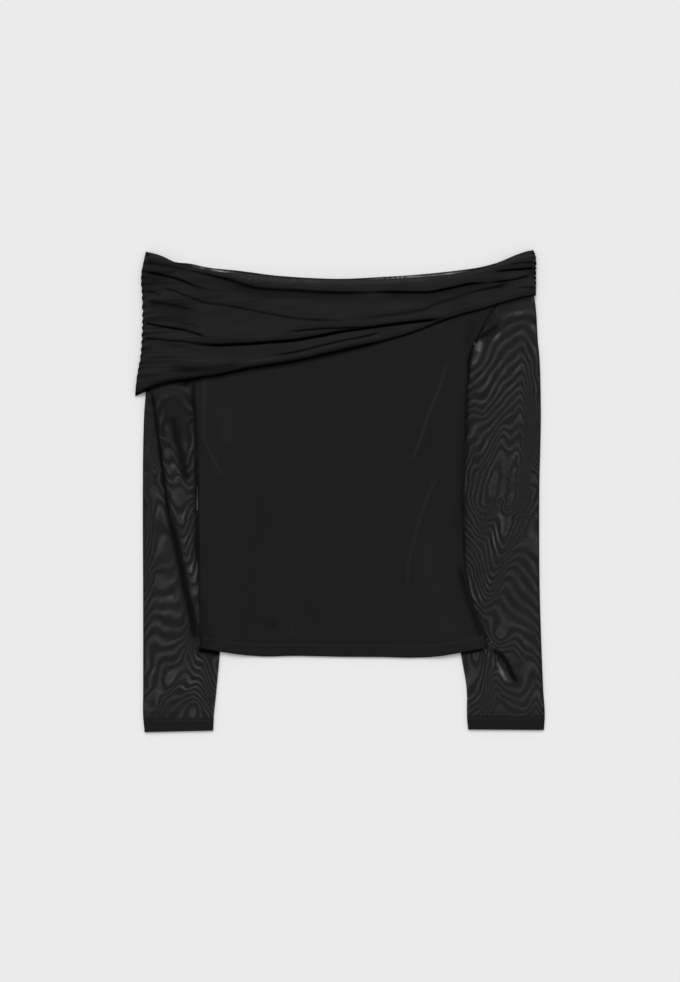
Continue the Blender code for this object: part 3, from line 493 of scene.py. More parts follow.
# Pale places: streaks in the mesh, and the one-layer opening under the right arm
Glow = namedtuple("Glow", "side half_width strength line")
SLEEVE_GLOWS = (
    Glow("right", 2.2, 0.36, ((205, -224), (208, -231), (211.5, -238.5), (214.5, -244))),
    Glow("right", 2.4, 0.42, ((184, 206), (187, 210), (190.5, 214))),
    Glow("right", 5.2, 0.5, ((178.6, 185), (180.4, 192))),
    Glow("right", 5.5, 0.17, ((174, 168), (177.5, 182))),
    Glow("right", 3.4, 0.12, ((204, 198), (206, 203))),
    Glow("right", 3.0, 0.1, ((228, 229.5), (236, 231))),
    Glow("right", 3.6, 0.1, ((250, 207), (250.5, 214))),
    Glow("right", 4.0, 0.08, ((253, 184), (253.5, 195))),
    Glow("left", 3.8, 0.09, ((-227, -60), (-232, -70), (-238, -86))),
    Glow("left", 3.6, 0.07, ((-207, 123), (-200, 115), (-195.5, 106))),
    Glow("left", 2.6, 0.05, ((-238, 116), (-237, 108))),
    Glow("left", 2.8, 0.045, ((-226, 124), (-224, 123))),
    Glow("left", 2.6, 0.04, ((-218, 119), (-217, 115))),
    Glow("left", 2.2, 0.05, ((-247, 106), (-245, 98))),
    Glow("left", 2.2, 0.05, ((-246, 90), (-244, 84))),
)
# Dark lines on the sheer sleeves: seams and folds that make the mesh thicker and show through it, and painted
# shadow below the body's hem and beside its side edges
SeamOrShadowLine = namedtuple("SeamOrShadowLine", "side half_width depth line")
SLEEVE_LINES = (
    SeamOrShadowLine("left", 2.6, 0.85, ((-246, 134), (-241, 109), (-238, 83), (-235, 62), (-232, 40), (-229, 15),
        (-226, -5), (-223, -25), (-219, -45), (-215, -60), (-211, -75))),
    SeamOrShadowLine("left", 7.0, 0.6, ((-221, -35), (-216, -55), (-211, -75), (-207, -95), (-203, -115),
        (-200, -130), (-195, -150), (-190, -175), (-188, -195))),
    SeamOrShadowLine("left", 7.0, 0.42, ((-218, 98), (-213, 76), (-209, 60), (-206, 45), (-203, 28), (-199, 12))),
    SeamOrShadowLine("left", 45.0, 0.1, ((-222, 125), (-210, 60))),
    # Painted shadow beside the body's left edge
    SeamOrShadowLine("left", 3.0, 0.4, ((-192, 140), (-190, 110), (-188.5, 60), (-187, 10), (-187, -60),
        (-186, -100))),
    # Painted shadow below the hem
    SeamOrShadowLine("left", 5.5, 1.0, ((-184, -206), (-170, -208), (-155, -210.5))),
    SeamOrShadowLine("right", 4.5, 0.75, ((198, -206), (208, -212), (216, -222), (222, -235), (230, -249))),
    SeamOrShadowLine("right", 4.4, 0.6, ((181, 201.5), (190, 204), (198, 210), (204, 217))),
    SeamOrShadowLine("right", 2.2, 1.0, ((204, 244), (195, 231), (190, 222), (184, 210), (180.5, 202))),
    SeamOrShadowLine("right", 2.0, 0.85, ((181, 202), (176, 196), (172, 188), (169.5, 178), (168, 165),
        (166.5, 140))),
    # Painted shadow beside the body's right edge
    SeamOrShadowLine("right", 2.2, 0.3, ((167, 145), (165.5, 110), (164, 66), (161, 0), (161, -40), (163, -90))),
    # Painted shadow below the hem
    SeamOrShadowLine("right", 3.2, 0.85, ((150, -211.5), (170, -208.5), (186, -205.5))),
    SeamOrShadowLine("right", 3.0, 0.15, ((200, 227), (205, 222), (207, 216))),
)
# Back band's sheer top edge: how open the mesh is, and how strong its rim is
NeckRow = namedtuple("NeckRow", "across opening rim")
NECK_ROWS = (
    NeckRow(-235, 0.0, 0.7), NeckRow(-205, 0.15, 0.7), NeckRow(-192, 0.4, 0.3), NeckRow(-186, 0.5, 0.5),
    NeckRow(-178, 0.6, 0.5), NeckRow(-171, 0.42, 0.8), NeckRow(-166, 0.6, 0.2), NeckRow(-161, 0.7, 0.3),
    NeckRow(-156, 0.76, 0.6), NeckRow(-150, 0.68, 0.7), NeckRow(-142, 0.58, 0.8), NeckRow(-136, 0.5, 1.0),
    NeckRow(-120, 0.5, 1.0), NeckRow(-110, 0.5, 1.0), NeckRow(-102, 0.65, 0.8), NeckRow(-97, 0.58, 1.0),
    NeckRow(-92, 0.78, 0.9), NeckRow(-80, 0.84, 0.8), NeckRow(-72, 0.76, 0.8), NeckRow(-60, 0.76, 0.6),
    NeckRow(-50, 0.7, 0.8), NeckRow(-40, 0.6, 0.8), NeckRow(-20, 0.55, 0.9), NeckRow(0, 0.45, 1.0),
    NeckRow(12, 0.6, 0.5), NeckRow(25, 0.5, 0.9), NeckRow(40, 0.62, 0.5), NeckRow(55, 0.7, 0.3),
    NeckRow(70, 0.74, 0.2), NeckRow(80, 0.78, 0.1), NeckRow(92, 0.7, 0.2), NeckRow(100, 0.66, 0.3),
    NeckRow(108, 0.62, 0.7), NeckRow(120, 0.6, 0.6), NeckRow(130, 0.62, 0.9), NeckRow(138, 0.72, 0.8),
    NeckRow(146, 0.66, 0.5), NeckRow(158, 0.55, 0.6), NeckRow(180, 0.25, 0.8), NeckRow(225, 0.0, 0.8),
)
# Stitch ticks of that edge: their spacing, and from where to where they run
NECK_TICK, TICKS_FROM, TICKS_TO = 4.8, 50.0, 92.0
# Length of a stitch and of the gap after it, along the hems and along the band's ends
HEM_STITCH, END_STITCH = (2.4, 0.7), (1.9, 1.0)
# Heights of the label's ends, how far it stands out of the side seam, and how far it is sewn in
LABEL_TOP, LABEL_BOTTOM, LABEL_FAR, LABEL_SEWN = 5.7, -25.5, 2.7, 7.5


def ease(share):
    """0 to 1 with a soft start and end."""
    t = np.clip(share, 0.0, 1.0)
    return t * t * (3.0 - 2.0 * t)


def smooth(stations, values):
    """A smooth curve through a table's values, held level past its ends."""
    knots = np.array(stations, float)
    heights = np.array(values, float)
    slopes = np.gradient(heights, knots)

    def at(x):
        x = np.asarray(x, float)
        i = np.clip(np.searchsorted(knots, x) - 1, 0, len(knots) - 2)
        step = knots[i + 1] - knots[i]
        t = np.clip((x - knots[i]) / step, 0.0, 1.0)
        start = (1 + 2 * t) * (1 - t) ** 2 * heights[i] + t * (1 - t) ** 2 * step * slopes[i]
        end = t * t * (3 - 2 * t) * heights[i + 1] + t * t * (t - 1) * step * slopes[i + 1]
        return start + end

    return at


def column(rows, x_name, y_name):
    """The curve of one named column of a table over another."""
    pairs = sorted((getattr(row, x_name), getattr(row, y_name)) for row in rows)
    return smooth(*zip(*pairs))


body_left = column(BODY_SIDES, "height", "left")
body_right = column(BODY_SIDES, "height", "right")
hem_height = column(HEM_LINE, "across", "height")
band_back_top = column(BAND_EDGES, "across", "back_top")
band_front_top = column(BAND_EDGES, "across", "front_top")
band_lower = column(BAND_EDGES, "across", "lower")
band_left_end = column(BAND_LEFT_END, "height", "across")
band_right_end = column(BAND_RIGHT_END, "height", "across")
neck_opening = column(NECK_ROWS, "across", "opening")
neck_rim = column(NECK_ROWS, "across", "rim")
sleeve_outer = {side: column(rows, "height", "outer") for side, rows in SLEEVE_ROWS.items()}
sleeve_inner = {side: column(rows, "height", "inner") for side, rows in SLEEVE_ROWS.items()}


def distance_to_line(x, y, points):
    """Distance from each place to a line of straight runs, and the share of the line passed nearest to it."""
    best = np.full(np.broadcast(x, y).shape, 1e9)
    along = np.zeros_like(best)
    runs = [np.hypot(b[0] - a[0], b[1] - a[1]) for a, b in zip(points, points[1:])]
    passed = 0.0
    for a, b, run in zip(points, points[1:], runs):
        share = ((x - a[0]) * (b[0] - a[0]) + (y - a[1]) * (b[1] - a[1])) / run ** 2
        share = np.clip(share, 0.0, 1.0)
        away = np.hypot(x - a[0] - share * (b[0] - a[0]), y - a[1] - share * (b[1] - a[1]))
        nearer = away < best
        best = np.where(nearer, away, best)
        along = np.where(nearer, passed + share * run, along)
        passed += run
    return best, along / sum(runs)


def faded_ends(along, share, start=0.0):
    """Fades a line in and out over a share of its length."""
    return ease(np.minimum(along, 1.0 - along) / share + start)


def grain(x, y, across, along, seed):
    """Soft uneven values from -1 to 1, whose patches are `across` by `along` millimetres."""
    x, y = np.broadcast_arrays(x, y)
    flat = [
        noise.noise(Vector((float(a) / across, float(b) / along, seed * 7.31)))
        for a, b in zip(x.ravel(), y.ravel())
    ]
    return np.array(flat).reshape(x.shape)


# Heights of the layers

def back_band_lift(x, y, cover, fall):
    """How far a layer is held up by the back of the band under it."""
    return ON_BACK_BAND * ease((y - band_lower(x) + cover + fall) / fall)


def sleeve_bottom(x, y):
    """Underside of a sleeve."""
    return back_band_lift(x, y, SLEEVE_COVER, SLEEVE_FALL)


def over_sleeve(x, y):
    """How far the panels are held up by the sleeves that lie under them."""
    lift = np.zeros(np.broadcast(x, y).shape)
    for side, sign in SIGN.items():
        reaches = [sign * sleeve_inner[side](y + step) for step in (-SIDE_REACH, 0.0, SIDE_REACH)]
        edge = np.minimum.reduce(reaches) - SIDE_COVER
        share = ease((sign * x - edge + SIDE_FALL) / SIDE_FALL)
        below_armhole = ease((UNDERARM[side] + ARMHOLE_COVER - y) / ARMHOLE_FALL)
        lift = np.maximum(lift, ON_SLEEVE * share * below_armhole)
    return lift


def back_panel_bottom(x, y):
    """Underside of the back panel."""
    return back_band_lift(x, y, PANEL_COVER, PANEL_FALL) + over_sleeve(x, y)


def body_relief(x, y, settings):
    """Rise of the front panel at its turned hem and its soft folds, each a broad swell with a crest."""
    rise = settings.hem_rise * METRE * ease((hem_height(x) + HEM_DEPTH - y) / HEM_STEP)
    for fold in BODY_FOLDS:
        away, along = distance_to_line(x, y, fold.line)
        core = 0.6 * ease(1.0 - away / fold.half_width) + 0.4 * ease(1.0 - 2.2 * away / fold.half_width)
        rise = rise + fold.rise * core * np.sin(np.pi * along) ** 0.5
    return rise


def front_panel_bottom(x, y, settings):
    """Underside of the front panel."""
    return back_panel_bottom(x, y) + WALL + SEAM_GAP + body_relief(x, y, settings)


def armhole_across(side, y):
    """Where the armhole seam of a side is at each height."""
    return body_left(y) if side == "left" else body_right(y)


def sleeve_front_bottom(side, x, y, settings):
    """Underside of a sleeve's upper wall, which meets the front panel's height at the armhole."""
    base = sleeve_bottom(x, y) + WALL + SLEEVE_HOLLOW
    edge = armhole_across(side, y)
    join = front_panel_bottom(edge, y, settings) - (sleeve_bottom(edge, y) + WALL + SLEEVE_HOLLOW)
    near = ease(1.0 - np.abs(x - edge) / JOIN_ACROSS) * ease((y - UNDERARM[side]) / JOIN_ALONG)
    cuff = settings.hem_rise * METRE * ease((SLEEVE_ROWS[side][0].height + HEM_DEPTH - y) / CUFF_STEP)
    return base + np.maximum(join, 0.0) * near + cuff


def top_of_layers(x, y, settings):
    """Top of the front panel and the sleeves, which the front of the band lies on."""
    top = front_panel_bottom(x, y, settings) + WALL
    for side, sign in SIGN.items():
        past_armhole = sign * x >= sign * armhole_across(side, y)
        top = np.where(past_armhole, sleeve_front_bottom(side, x, y, settings) + WALL, top)
    return top


def highest_near(x, y, settings):
    """The highest of those tops close to each place."""
    tops = [top_of_layers(x + right, y + up, settings) for right in NEAR_ACROSS for up in NEAR_ALONG]
    return np.maximum.reduce(tops)


def room_at_ends(x, y):
    """Distance from each place to the band's left and right end."""
    return dict(left=x - band_left_end(y), right=band_right_end(y) - x)


def band_front_support(x, y, settings):
    """Underside of the band's front. It comes down to the band's back at its ends and its rolled top edge."""
    bridged = sum(highest_near(x + step, y, settings) for step in BRIDGE_ACROSS)
    high = bridged / len(BRIDGE_ACROSS) + SEAM_GAP
    room = room_at_ends(x, y)
    drop = ease((band_front_top(x) - y) / NECK_ROLL)
    for side, sign in SIGN.items():
        end = band_left_end(y) if side == "left" else band_right_end(y)
        past_sleeve = sign * (end - sleeve_outer[side](y)) - BAND_OVERHANG
        drop = drop * np.where(past_sleeve > 1.0, ease(room[side] / np.maximum(past_sleeve, 1.0)), 1.0)
    return ON_BACK_BAND + (high - ON_BACK_BAND) * drop


def wider_left(x, at_right, more):
    """A reach from the band's lower edge that grows toward the band's deep end."""
    return at_right + more * ease(1.0 - x / 90.0)


def band_shadow(x, y):
    """How dark the cloth just below the band's lower edge is."""
    return np.clip(1.02 - (band_lower(x) - y) / wider_left(x, 3.2, 4.2), 0.0, 1.0)


def toned(x, y, tones):
    """The strongest of the soft lines at each place."""
    best = np.zeros(np.broadcast(x, y).shape)
    for tone in tones:
        away, along = distance_to_line(x, y, tone.line)
        ends = faded_ends(along, 0.12, 0.3)
        best = np.maximum(best, tone.strength * ease(1.0 - away / tone.half_width) * ends)
    return best


def crease_share(x, y, crease):
    """How deep a crease is at each place, and how dark the painted shade of its core and of the cloth beside it
    is.
    """
    knots, heights = zip(*crease.line)
    away = y - smooth(knots, heights)(x)
    above = away / crease.half_width
    ends = ease((x - knots[0]) / crease.fade_left) * ease((knots[-1] - x) / crease.fade_right)
    wide = np.where(above > 0.0, ease(1.0 - above / CREASE_STEEP), ease(1.0 + above / CREASE_GENTLE))
    core = np.exp(-(above / CREASE_CORE) ** 4)
    soft_above = crease.above * ease(1.0 - away / CREASE_DARK_ABOVE)
    soft_below = crease.below * ease(1.0 + away / CREASE_DARK_BELOW)
    soft = np.where(away > 0.0, soft_above, soft_below)
    blend = ease((away + CREASE_MIDDLE) / (2.0 * CREASE_MIDDLE))
    near = np.exp(-(away / CREASE_MIDDLE) ** 2)
    soft = (1.0 - near) * soft + near * (blend * crease.above + (1.0 - blend) * crease.below)
    return wide * ends, core * ends, soft * ends


def gather(share, count, seed):
    """Uneven waves of the gathers along one end, from -1 to 1."""
    stations = 60
    places = np.linspace(0, stations, stations)
    shifts = grain(places, np.zeros(stations), 5.0, 1.0, seed)
    uneven = np.interp(share, np.linspace(0, 1, stations), shifts)
    return np.cos(2.0 * np.pi * (count * share + 0.45 * uneven))


def band_relief(x, y, share, settings):
    """Height of the band's folds and gathers above their support, and the painted shade of its creases and
    gathers.
    """
    puff = np.ones(np.broadcast(x, y).shape)
    dark = np.zeros_like(puff)
    for crease in BAND_CREASES:
        wide, core, soft = crease_share(x, y, crease)
        puff = puff - crease.depth * (0.65 * wide + 0.35 * core)
        # Painted shade: the dark cores of the creases, and the darker cloth beside them
        dark = np.maximum(dark, 1.0 - (1.0 - np.minimum(crease.shade * core, 1.0)) * (1.0 - soft))
    from_top = ease((band_front_top(x) - y) / BAND_EDGE_ROLL)
    from_lower = ease((y - band_lower(x)) / (1.4 * BAND_EDGE_ROLL))
    room = room_at_ends(x, y)
    from_ends = ease(room["left"] / 12.0) * ease(room["right"] / 12.0)
    shape = np.clip(puff, 0.0, 1.0) * from_top * from_lower * (0.25 + 0.75 * from_ends)
    reach = settings.gather_length * METRE
    rise = np.zeros_like(puff)
    ends = (("left", settings.left_gathers, 1.0), ("right", settings.right_gathers, 0.8))
    for side, count, longest in ends:
        wave = gather(share, count, GATHER_SEED[side])
        uneven = 0.75 + 0.25 * gather(share, 5, GATHER_SEED[side] + 1)
        near = ease(1.0 - room[side] / (longest * reach * uneven))
        rise = rise + near * (1.0 + wave)
        # Painted shade in the valleys between the gathers
        valley = np.clip(-wave, 0.0, 1.0) ** 2 * ease(1.0 - room[side] / (0.45 * reach * uneven))
        dark = np.maximum(dark, 0.7 * valley)
    gathers = 0.5 * settings.gather_depth * METRE * rise
    return settings.fold_height * METRE * shape, gathers, dark


# Making pieces

def deselect():
    """Leaves edit mode and deselects everything."""
    if bpy.context.object and bpy.context.object.mode != "OBJECT":
        bpy.ops.object.mode_set(mode="OBJECT")
    bpy.ops.object.select_all(action="DESELECT")


def cloth_grid(name, points, named_values):
    """A grid primitive shaped to rows and columns of points in millimetres, with named values on them."""
    rows, columns = points.shape[:2]
    deselect()
    bpy.ops.mesh.primitive_grid_add(x_subdivisions=columns - 1, y_subdivisions=rows - 1, size=1.0)
    piece = bpy.context.object
    piece.name = name
    mesh = piece.data
    mesh.name = name
    mesh.vertices.foreach_set("co", (points * MM).astype(np.float32).ravel())
    for value_name, values in named_values.items():
        made = mesh.attributes.new(value_name, "FLOAT", "POINT")
        made.data.foreach_set("value", np.broadcast_to(values, (rows, columns)).astype(np.float32).ravel())
    mesh.update()
    return piece


def finish_cloth(piece, thickness, material, merge=False):
    """Gives a shaped grid its thickness below its outer face, and shades it smooth."""
    deselect()
    piece.select_set(True)
    bpy.context.view_layer.objects.active = piece
    if merge:
        bpy.ops.object.mode_set(mode="EDIT")
        bpy.ops.mesh.select_all(action="SELECT")
        bpy.ops.mesh.remove_doubles(threshold=0.000002)
        bpy.ops.object.mode_set(mode="OBJECT")
    solidify = piece.modifiers.new("thickness", "SOLIDIFY")
    solidify.thickness = thickness
    solidify.offset = -1.0
    solidify.use_rim = True
    bpy.ops.object.modifier_apply(modifier=solidify.name)
    piece.data.materials.clear()
    piece.data.materials.append(material)
    bpy.ops.object.shade_smooth_by_angle(angle=0.9)
    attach(piece, BODY)


def plan_between(left, right, lower, upper, across, along):
    """Plan places spread between four edges: across and along are each column's and row's share."""
    u = np.array(across)[None, :, None]
    v = np.array(along)[:, None, None]
    sides = (1 - u) * left[:, None, :] + u * right[:, None, :]
    ends = (1 - v) * lower[None, :, :] + v * upper[None, :, :]
    corners = (
        (1 - u) * (1 - v) * lower[0] + u * (1 - v) * lower[-1]
        + (1 - u) * v * upper[0] + u * v * upper[-1])
    return sides + ends - corners


def edge_points(x, y):
    """Plan places of one edge as rows of x and y."""
    return np.stack(np.broadcast_arrays(np.asarray(x, float), np.asarray(y, float)), axis=-1)


def crowded(columns):
    """Shares from 0 to 1 that lie closer together toward both ends."""
    across = np.linspace(0.0, 1.0, columns)
    return across - 0.08 * np.sin(2.0 * np.pi * across)


def body_plan(rows, columns, hem_short):
    """Plan places of a body panel between its side seams, hem and covered neckline."""
    row_shares, row_heights = (0.0, 0.5, 0.95, 1.0), (-204.0, 112.0, 256.0, TOP_HEIGHT)
    heights = np.interp(np.linspace(0.0, 1.0, rows), row_shares, row_heights)
    share = (heights - heights[0]) / (heights[-1] - heights[0])
    across = crowded(columns)
    low_x = body_left(heights[0]) + across * (body_right(heights[0]) - body_left(heights[0]))
    top_x = body_left(heights[-1]) + across * (body_right(heights[-1]) - body_left(heights[-1]))
    left = edge_points(body_left(heights), heights)
    right = edge_points(body_right(heights), heights)
    hem = edge_points(low_x, hem_height(low_x) + hem_short * np.sin(np.pi * across) ** 0.25)
    neck = band_front_top(top_x) - NECK_INSET
    ends = ease(np.minimum(across, 1.0 - across) / 0.06)
    neck = heights[-1] + (neck - heights[-1]) * ends
    return plan_between(left, right, hem, edge_points(top_x, neck), across, share)


def band_plan(rows, columns, top_line, settings):
    """Plan places of a band piece between its edges and its waved ends, and the share of each row."""
    share = np.linspace(0.0, 1.0, rows)
    across = crowded(columns)
    low_left, top_left = (float(band_left_end(height)) for height in BAND_CORNERS["left"])
    low_right, top_right = (float(band_right_end(height)) for height in BAND_CORNERS["right"])
    low_x = low_left + across * (low_right - low_left)
    top_x = top_left + across * (top_right - top_left)
    lower = edge_points(low_x, band_lower(low_x))
    upper = edge_points(top_x, top_line(top_x))
    left_y = lower[0, 1] + share * (upper[0, 1] - lower[0, 1])
    right_y = lower[-1, 1] + share * (upper[-1, 1] - lower[-1, 1])
    wave = settings.gather_plan * METRE * np.sin(np.pi * share)
    left_x = band_left_end(left_y) + wave * gather(share, settings.left_gathers, GATHER_SEED["left"])
    right_x = band_right_end(right_y) - wave * gather(share, settings.right_gathers, GATHER_SEED["right"])
    left, right = edge_points(left_x, left_y), edge_points(right_x, right_y)
    return plan_between(left, right, lower, upper, across, share), share[:, None]


# Materials

# Spacing of the net in metres, and the form of the fringes: one turn, how sharp they are, and their mean
MESH_PITCH = 0.0009
FULL_TURN, FRINGE_SHARPNESS, FRINGE_MIDDLE, GLOW_OPENING = 6.283185, 1.35, 0.43, 0.45


def new_material(name):
    """An empty material with its nodes, links and shader."""
    material = bpy.data.materials.new(name)
    material.use_nodes = True
    nodes = material.node_tree.nodes
    links = material.node_tree.links
    return material, nodes, links, nodes["Principled BSDF"]


def math_node(nodes, links, operation, first, second=None, third=None, clamp=False):
    """A Math node whose inputs are numbers or other nodes' outputs."""
    node = nodes.new("ShaderNodeMath")
    node.operation = operation
    node.use_clamp = clamp
    for socket, value in zip(node.inputs, (first, second, third)):
        if value is None:
            continue
        if isinstance(value, (int, float)):
            socket.default_value = value
        else:
            links.new(value, socket)
    return node.outputs[0]


def texture(nodes, links, kind, scale, source, **values):
    """A texture node of some kind and scale, read at the places of its source."""
    node = nodes.new(kind)
    node.inputs["Scale"].default_value = scale
    for name, value in values.items():
        node.inputs[name].default_value = value
    links.new(source, node.inputs["Vector"])
    return node


def attribute(nodes, name):
    """The named value that a piece holds on its points."""
    node = nodes.new("ShaderNodeAttribute")
    node.attribute_name = name
    return node.outputs["Fac"]


def mixed_colour(nodes, links, share, first, second):
    """A colour between two, by a share from 0 to 1."""
    node = nodes.new("ShaderNodeMix")
    node.data_type = "RGBA"
    for socket, value in ((node.inputs["A"], first), (node.inputs["B"], second)):
        if isinstance(value, bpy.types.NodeSocket):
            links.new(value, socket)
        else:
            socket.default_value = (*value[:3], 1.0)
    links.new(share, node.inputs["Factor"])
    return node.outputs["Result"]


def mesh_bump(nodes, links, shader, source, pitch, strength):
    """The tiny hexagonal net of the cloth, raised where its threads run."""
    cells = nodes.new("ShaderNodeTexVoronoi")
    cells.feature = "DISTANCE_TO_EDGE"
    cells.inputs["Scale"].default_value = 1.0 / pitch
    cells.inputs["Randomness"].default_value = 0.25
    links.new(source, cells.inputs["Vector"])
    threads = math_node(nodes, links, "SUBTRACT", 0.5, cells.outputs["Distance"])
    bump = nodes.new("ShaderNodeBump")
    bump.inputs["Strength"].default_value = strength
    bump.inputs["Distance"].default_value = 0.00015
    links.new(threads, bump.inputs["Height"])
    links.new(bump.outputs["Normal"], shader.inputs["Normal"])
    return cells.outputs["Distance"]


def shade_to_black(nodes, links, shader, cloth):
    """Takes the cloth's colour, gloss and sheen down to black where it is marked dark: painted shade and
    painted shadow, and also darker seams and random darker patches.
    """
    dark = attribute(nodes, "dark")
    links.new(mixed_colour(nodes, links, dark, cloth, (0.0002, 0.0002, 0.0002)), shader.inputs["Base Color"])
    lit = math_node(nodes, links, "SUBTRACT", 1.0, dark, clamp=True)
    links.new(math_node(nodes, links, "MULTIPLY", lit, 0.08), shader.inputs["Specular IOR Level"])
    links.new(math_node(nodes, links, "MULTIPLY", lit, 0.02), shader.inputs["Sheen Weight"])


def lined_mesh(colours):
    """Black stretch mesh, two layers deep, dull and slightly cool in places."""
    material, nodes, links, shader = new_material("lined_mesh_cloth")
    place = nodes.new("ShaderNodeTexCoord").outputs["Object"]
    clouds = texture(nodes, links, "ShaderNodeTexNoise", 14.0, place, Detail=3.0, Roughness=0.5)
    patches = math_node(nodes, links, "MULTIPLY_ADD", clouds.outputs["Fac"], 2.2, -0.6, clamp=True)
    cloth = mixed_colour(nodes, links, patches, colours.lined, colours.lined_cool)
    # Fine specks of the threads' lit colour: painted highlights
    threads = texture(nodes, links, "ShaderNodeTexNoise", 900.0, place, Detail=2.0)
    speck = math_node(nodes, links, "MULTIPLY", threads.outputs["Fac"], 0.25)
    cloth = mixed_colour(nodes, links, speck, cloth, colours.thread_light)
    # Painted highlights on folds and ridges, and paler patches and edges, where the cloth is marked light
    cloth = mixed_colour(nodes, links, attribute(nodes, "light"), cloth, colours.highlight_and_pale)
    shade_to_black(nodes, links, shader, cloth)
    shader.inputs["Roughness"].default_value = 0.82
    shader.inputs["Sheen Roughness"].default_value = 0.4
    mesh_bump(nodes, links, shader, place, MESH_PITCH, 0.35)
    return material


def sheer_mesh(colours, name="sheer_mesh_cloth", fringed=True):
    """One layer of black see-through mesh, with the fringes of two crossing layers where it is fringed."""
    material, nodes, links, shader = new_material(name)
    place = nodes.new("ShaderNodeTexCoord").outputs["Object"]
    solid = attribute(nodes, "solid")
    clear = 1.0 - colours.sheer_cover
    if fringed:
        turn = math_node(nodes, links, "MULTIPLY", attribute(nodes, "fringe"), FULL_TURN)
        wave = math_node(nodes, links, "COSINE", turn)
        wave = math_node(nodes, links, "MULTIPLY_ADD", wave, 0.5, 0.5)
        wave = math_node(nodes, links, "POWER", wave, FRINGE_SHARPNESS)
        wave = math_node(nodes, links, "SUBTRACT", wave, FRINGE_MIDDLE)
        wave = math_node(nodes, links, "MULTIPLY", wave, attribute(nodes, "fringe_gain"))
        opening = math_node(nodes, links, "MULTIPLY_ADD", wave, colours.fringe_contrast, clear)
        glow = math_node(nodes, links, "MULTIPLY", attribute(nodes, "glow"), GLOW_OPENING)
        opening = math_node(nodes, links, "ADD", opening, glow)
    else:
        opening = attribute(nodes, "opening")
    closed = math_node(nodes, links, "SUBTRACT", 1.0, solid)
    opening = math_node(nodes, links, "MULTIPLY", opening, closed, clamp=True)
    cover = math_node(nodes, links, "SUBTRACT", 1.0, opening, clamp=True)
    links.new(cover, shader.inputs["Alpha"])
    clouds = texture(nodes, links, "ShaderNodeTexNoise", 22.0, place, Detail=2.0)
    cloth = mixed_colour(nodes, links, clouds.outputs["Fac"], colours.sheer, colours.sheer_warm)
    cloth = mixed_colour(nodes, links, solid, cloth, colours.lined)
    shade_to_black(nodes, links, shader, cloth)
    shader.inputs["Roughness"].default_value = 0.75
    shader.inputs["Sheen Roughness"].default_value = 0.4
    mesh_bump(nodes, links, shader, place, MESH_PITCH, 0.3)
    return material


def label_tape(colours):
    """Ribbed grey tape, blank."""
    material, nodes, links, shader = new_material("label_tape_weave")
    place = nodes.new("ShaderNodeTexCoord").outputs["Object"]
    ribs = texture(nodes, links, "ShaderNodeTexWave", 900.0, place, Distortion=0.4)
    share = math_node(nodes, links, "MULTIPLY", ribs.outputs["Fac"], 0.35)
    shade_to_black(nodes, links, shader, mixed_colour(nodes, links, share, colours.label, (0.05, 0.05, 0.05)))
    shader.inputs["Roughness"].default_value = 0.6
    return material


def sewing_thread(colours):
    """Twisted black thread."""
    material, nodes, links, shader = new_material("sewing_thread")
    place = nodes.new("ShaderNodeTexCoord").outputs["Object"]
    twist = texture(nodes, links, "ShaderNodeTexWave", 2500.0, place, Distortion=1.0)
    # The twist's lit side is a painted highlight
    links.new(mixed_colour(nodes, links, twist.outputs["Fac"], colours.thread, colours.thread_light),
              shader.inputs["Base Color"])
    shader.inputs["Roughness"].default_value = 0.5
    return material


def floor_surface(colours):
    """Even pale floor, barely clouded."""
    material, nodes, links, shader = new_material("pale_floor")
    place = nodes.new("ShaderNodeTexCoord").outputs["Object"]
    clouds = texture(nodes, links, "ShaderNodeTexNoise", 3.0, place, Detail=1.0)
    share = math_node(nodes, links, "MULTIPLY", clouds.outputs["Fac"], 0.02)
    links.new(mixed_colour(nodes, links, share, colours.floor, (0.7, 0.7, 0.7)), shader.inputs["Base Color"])
    shader.inputs["Roughness"].default_value = 1.0
    shader.inputs["Specular IOR Level"].default_value = 0.0
    return material


def stored_material(name, make, colours):
    """The material of that name, made when it is first asked for."""
    return bpy.data.materials.get(name) or make(colours)


# Settings

def length(name, description, default):
    """A length in metres."""
    return bpy.props.FloatProperty(
        name=name, description=description, default=default, unit="LENGTH", precision=5)


def colour(name, description, default):
    """A linear colour."""
    return bpy.props.FloatVectorProperty(
        name=name, description=description, default=default, size=3, subtype="COLOR", min=0.0, max=1.0)


class ClothSettings(bpy.types.PropertyGroup):
    """Sizes of the cloth, its folds and its gathers"""
    shell: length("Cloth thickness", "Thickness of the lined mesh", 0.0007)
    sheer_shell: length("Sheer thickness", "Thickness of one sheer layer", 0.00045)
    hem_rise: length("Hem rise", "How far the turned hems stand above the cloth", 0.0004)
    fold_height: length("Fold height", "Height of the folds on the band", 0.0032)
    gather_depth: length("Gather depth", "Height of the gathers at the band's ends", 0.0017)
    gather_length: length("Gather length", "How far the gathers run in from the band's ends", 0.026)
    gather_plan: length("Gather wave", "How far the gathers wave the band's ends", 0.0008)
    left_gathers: bpy.props.IntProperty(
        name="Left gathers", description="Gathers at the left end", default=20)
    right_gathers: bpy.props.IntProperty(
        name="Right gathers", description="Gathers at the right end", default=9)


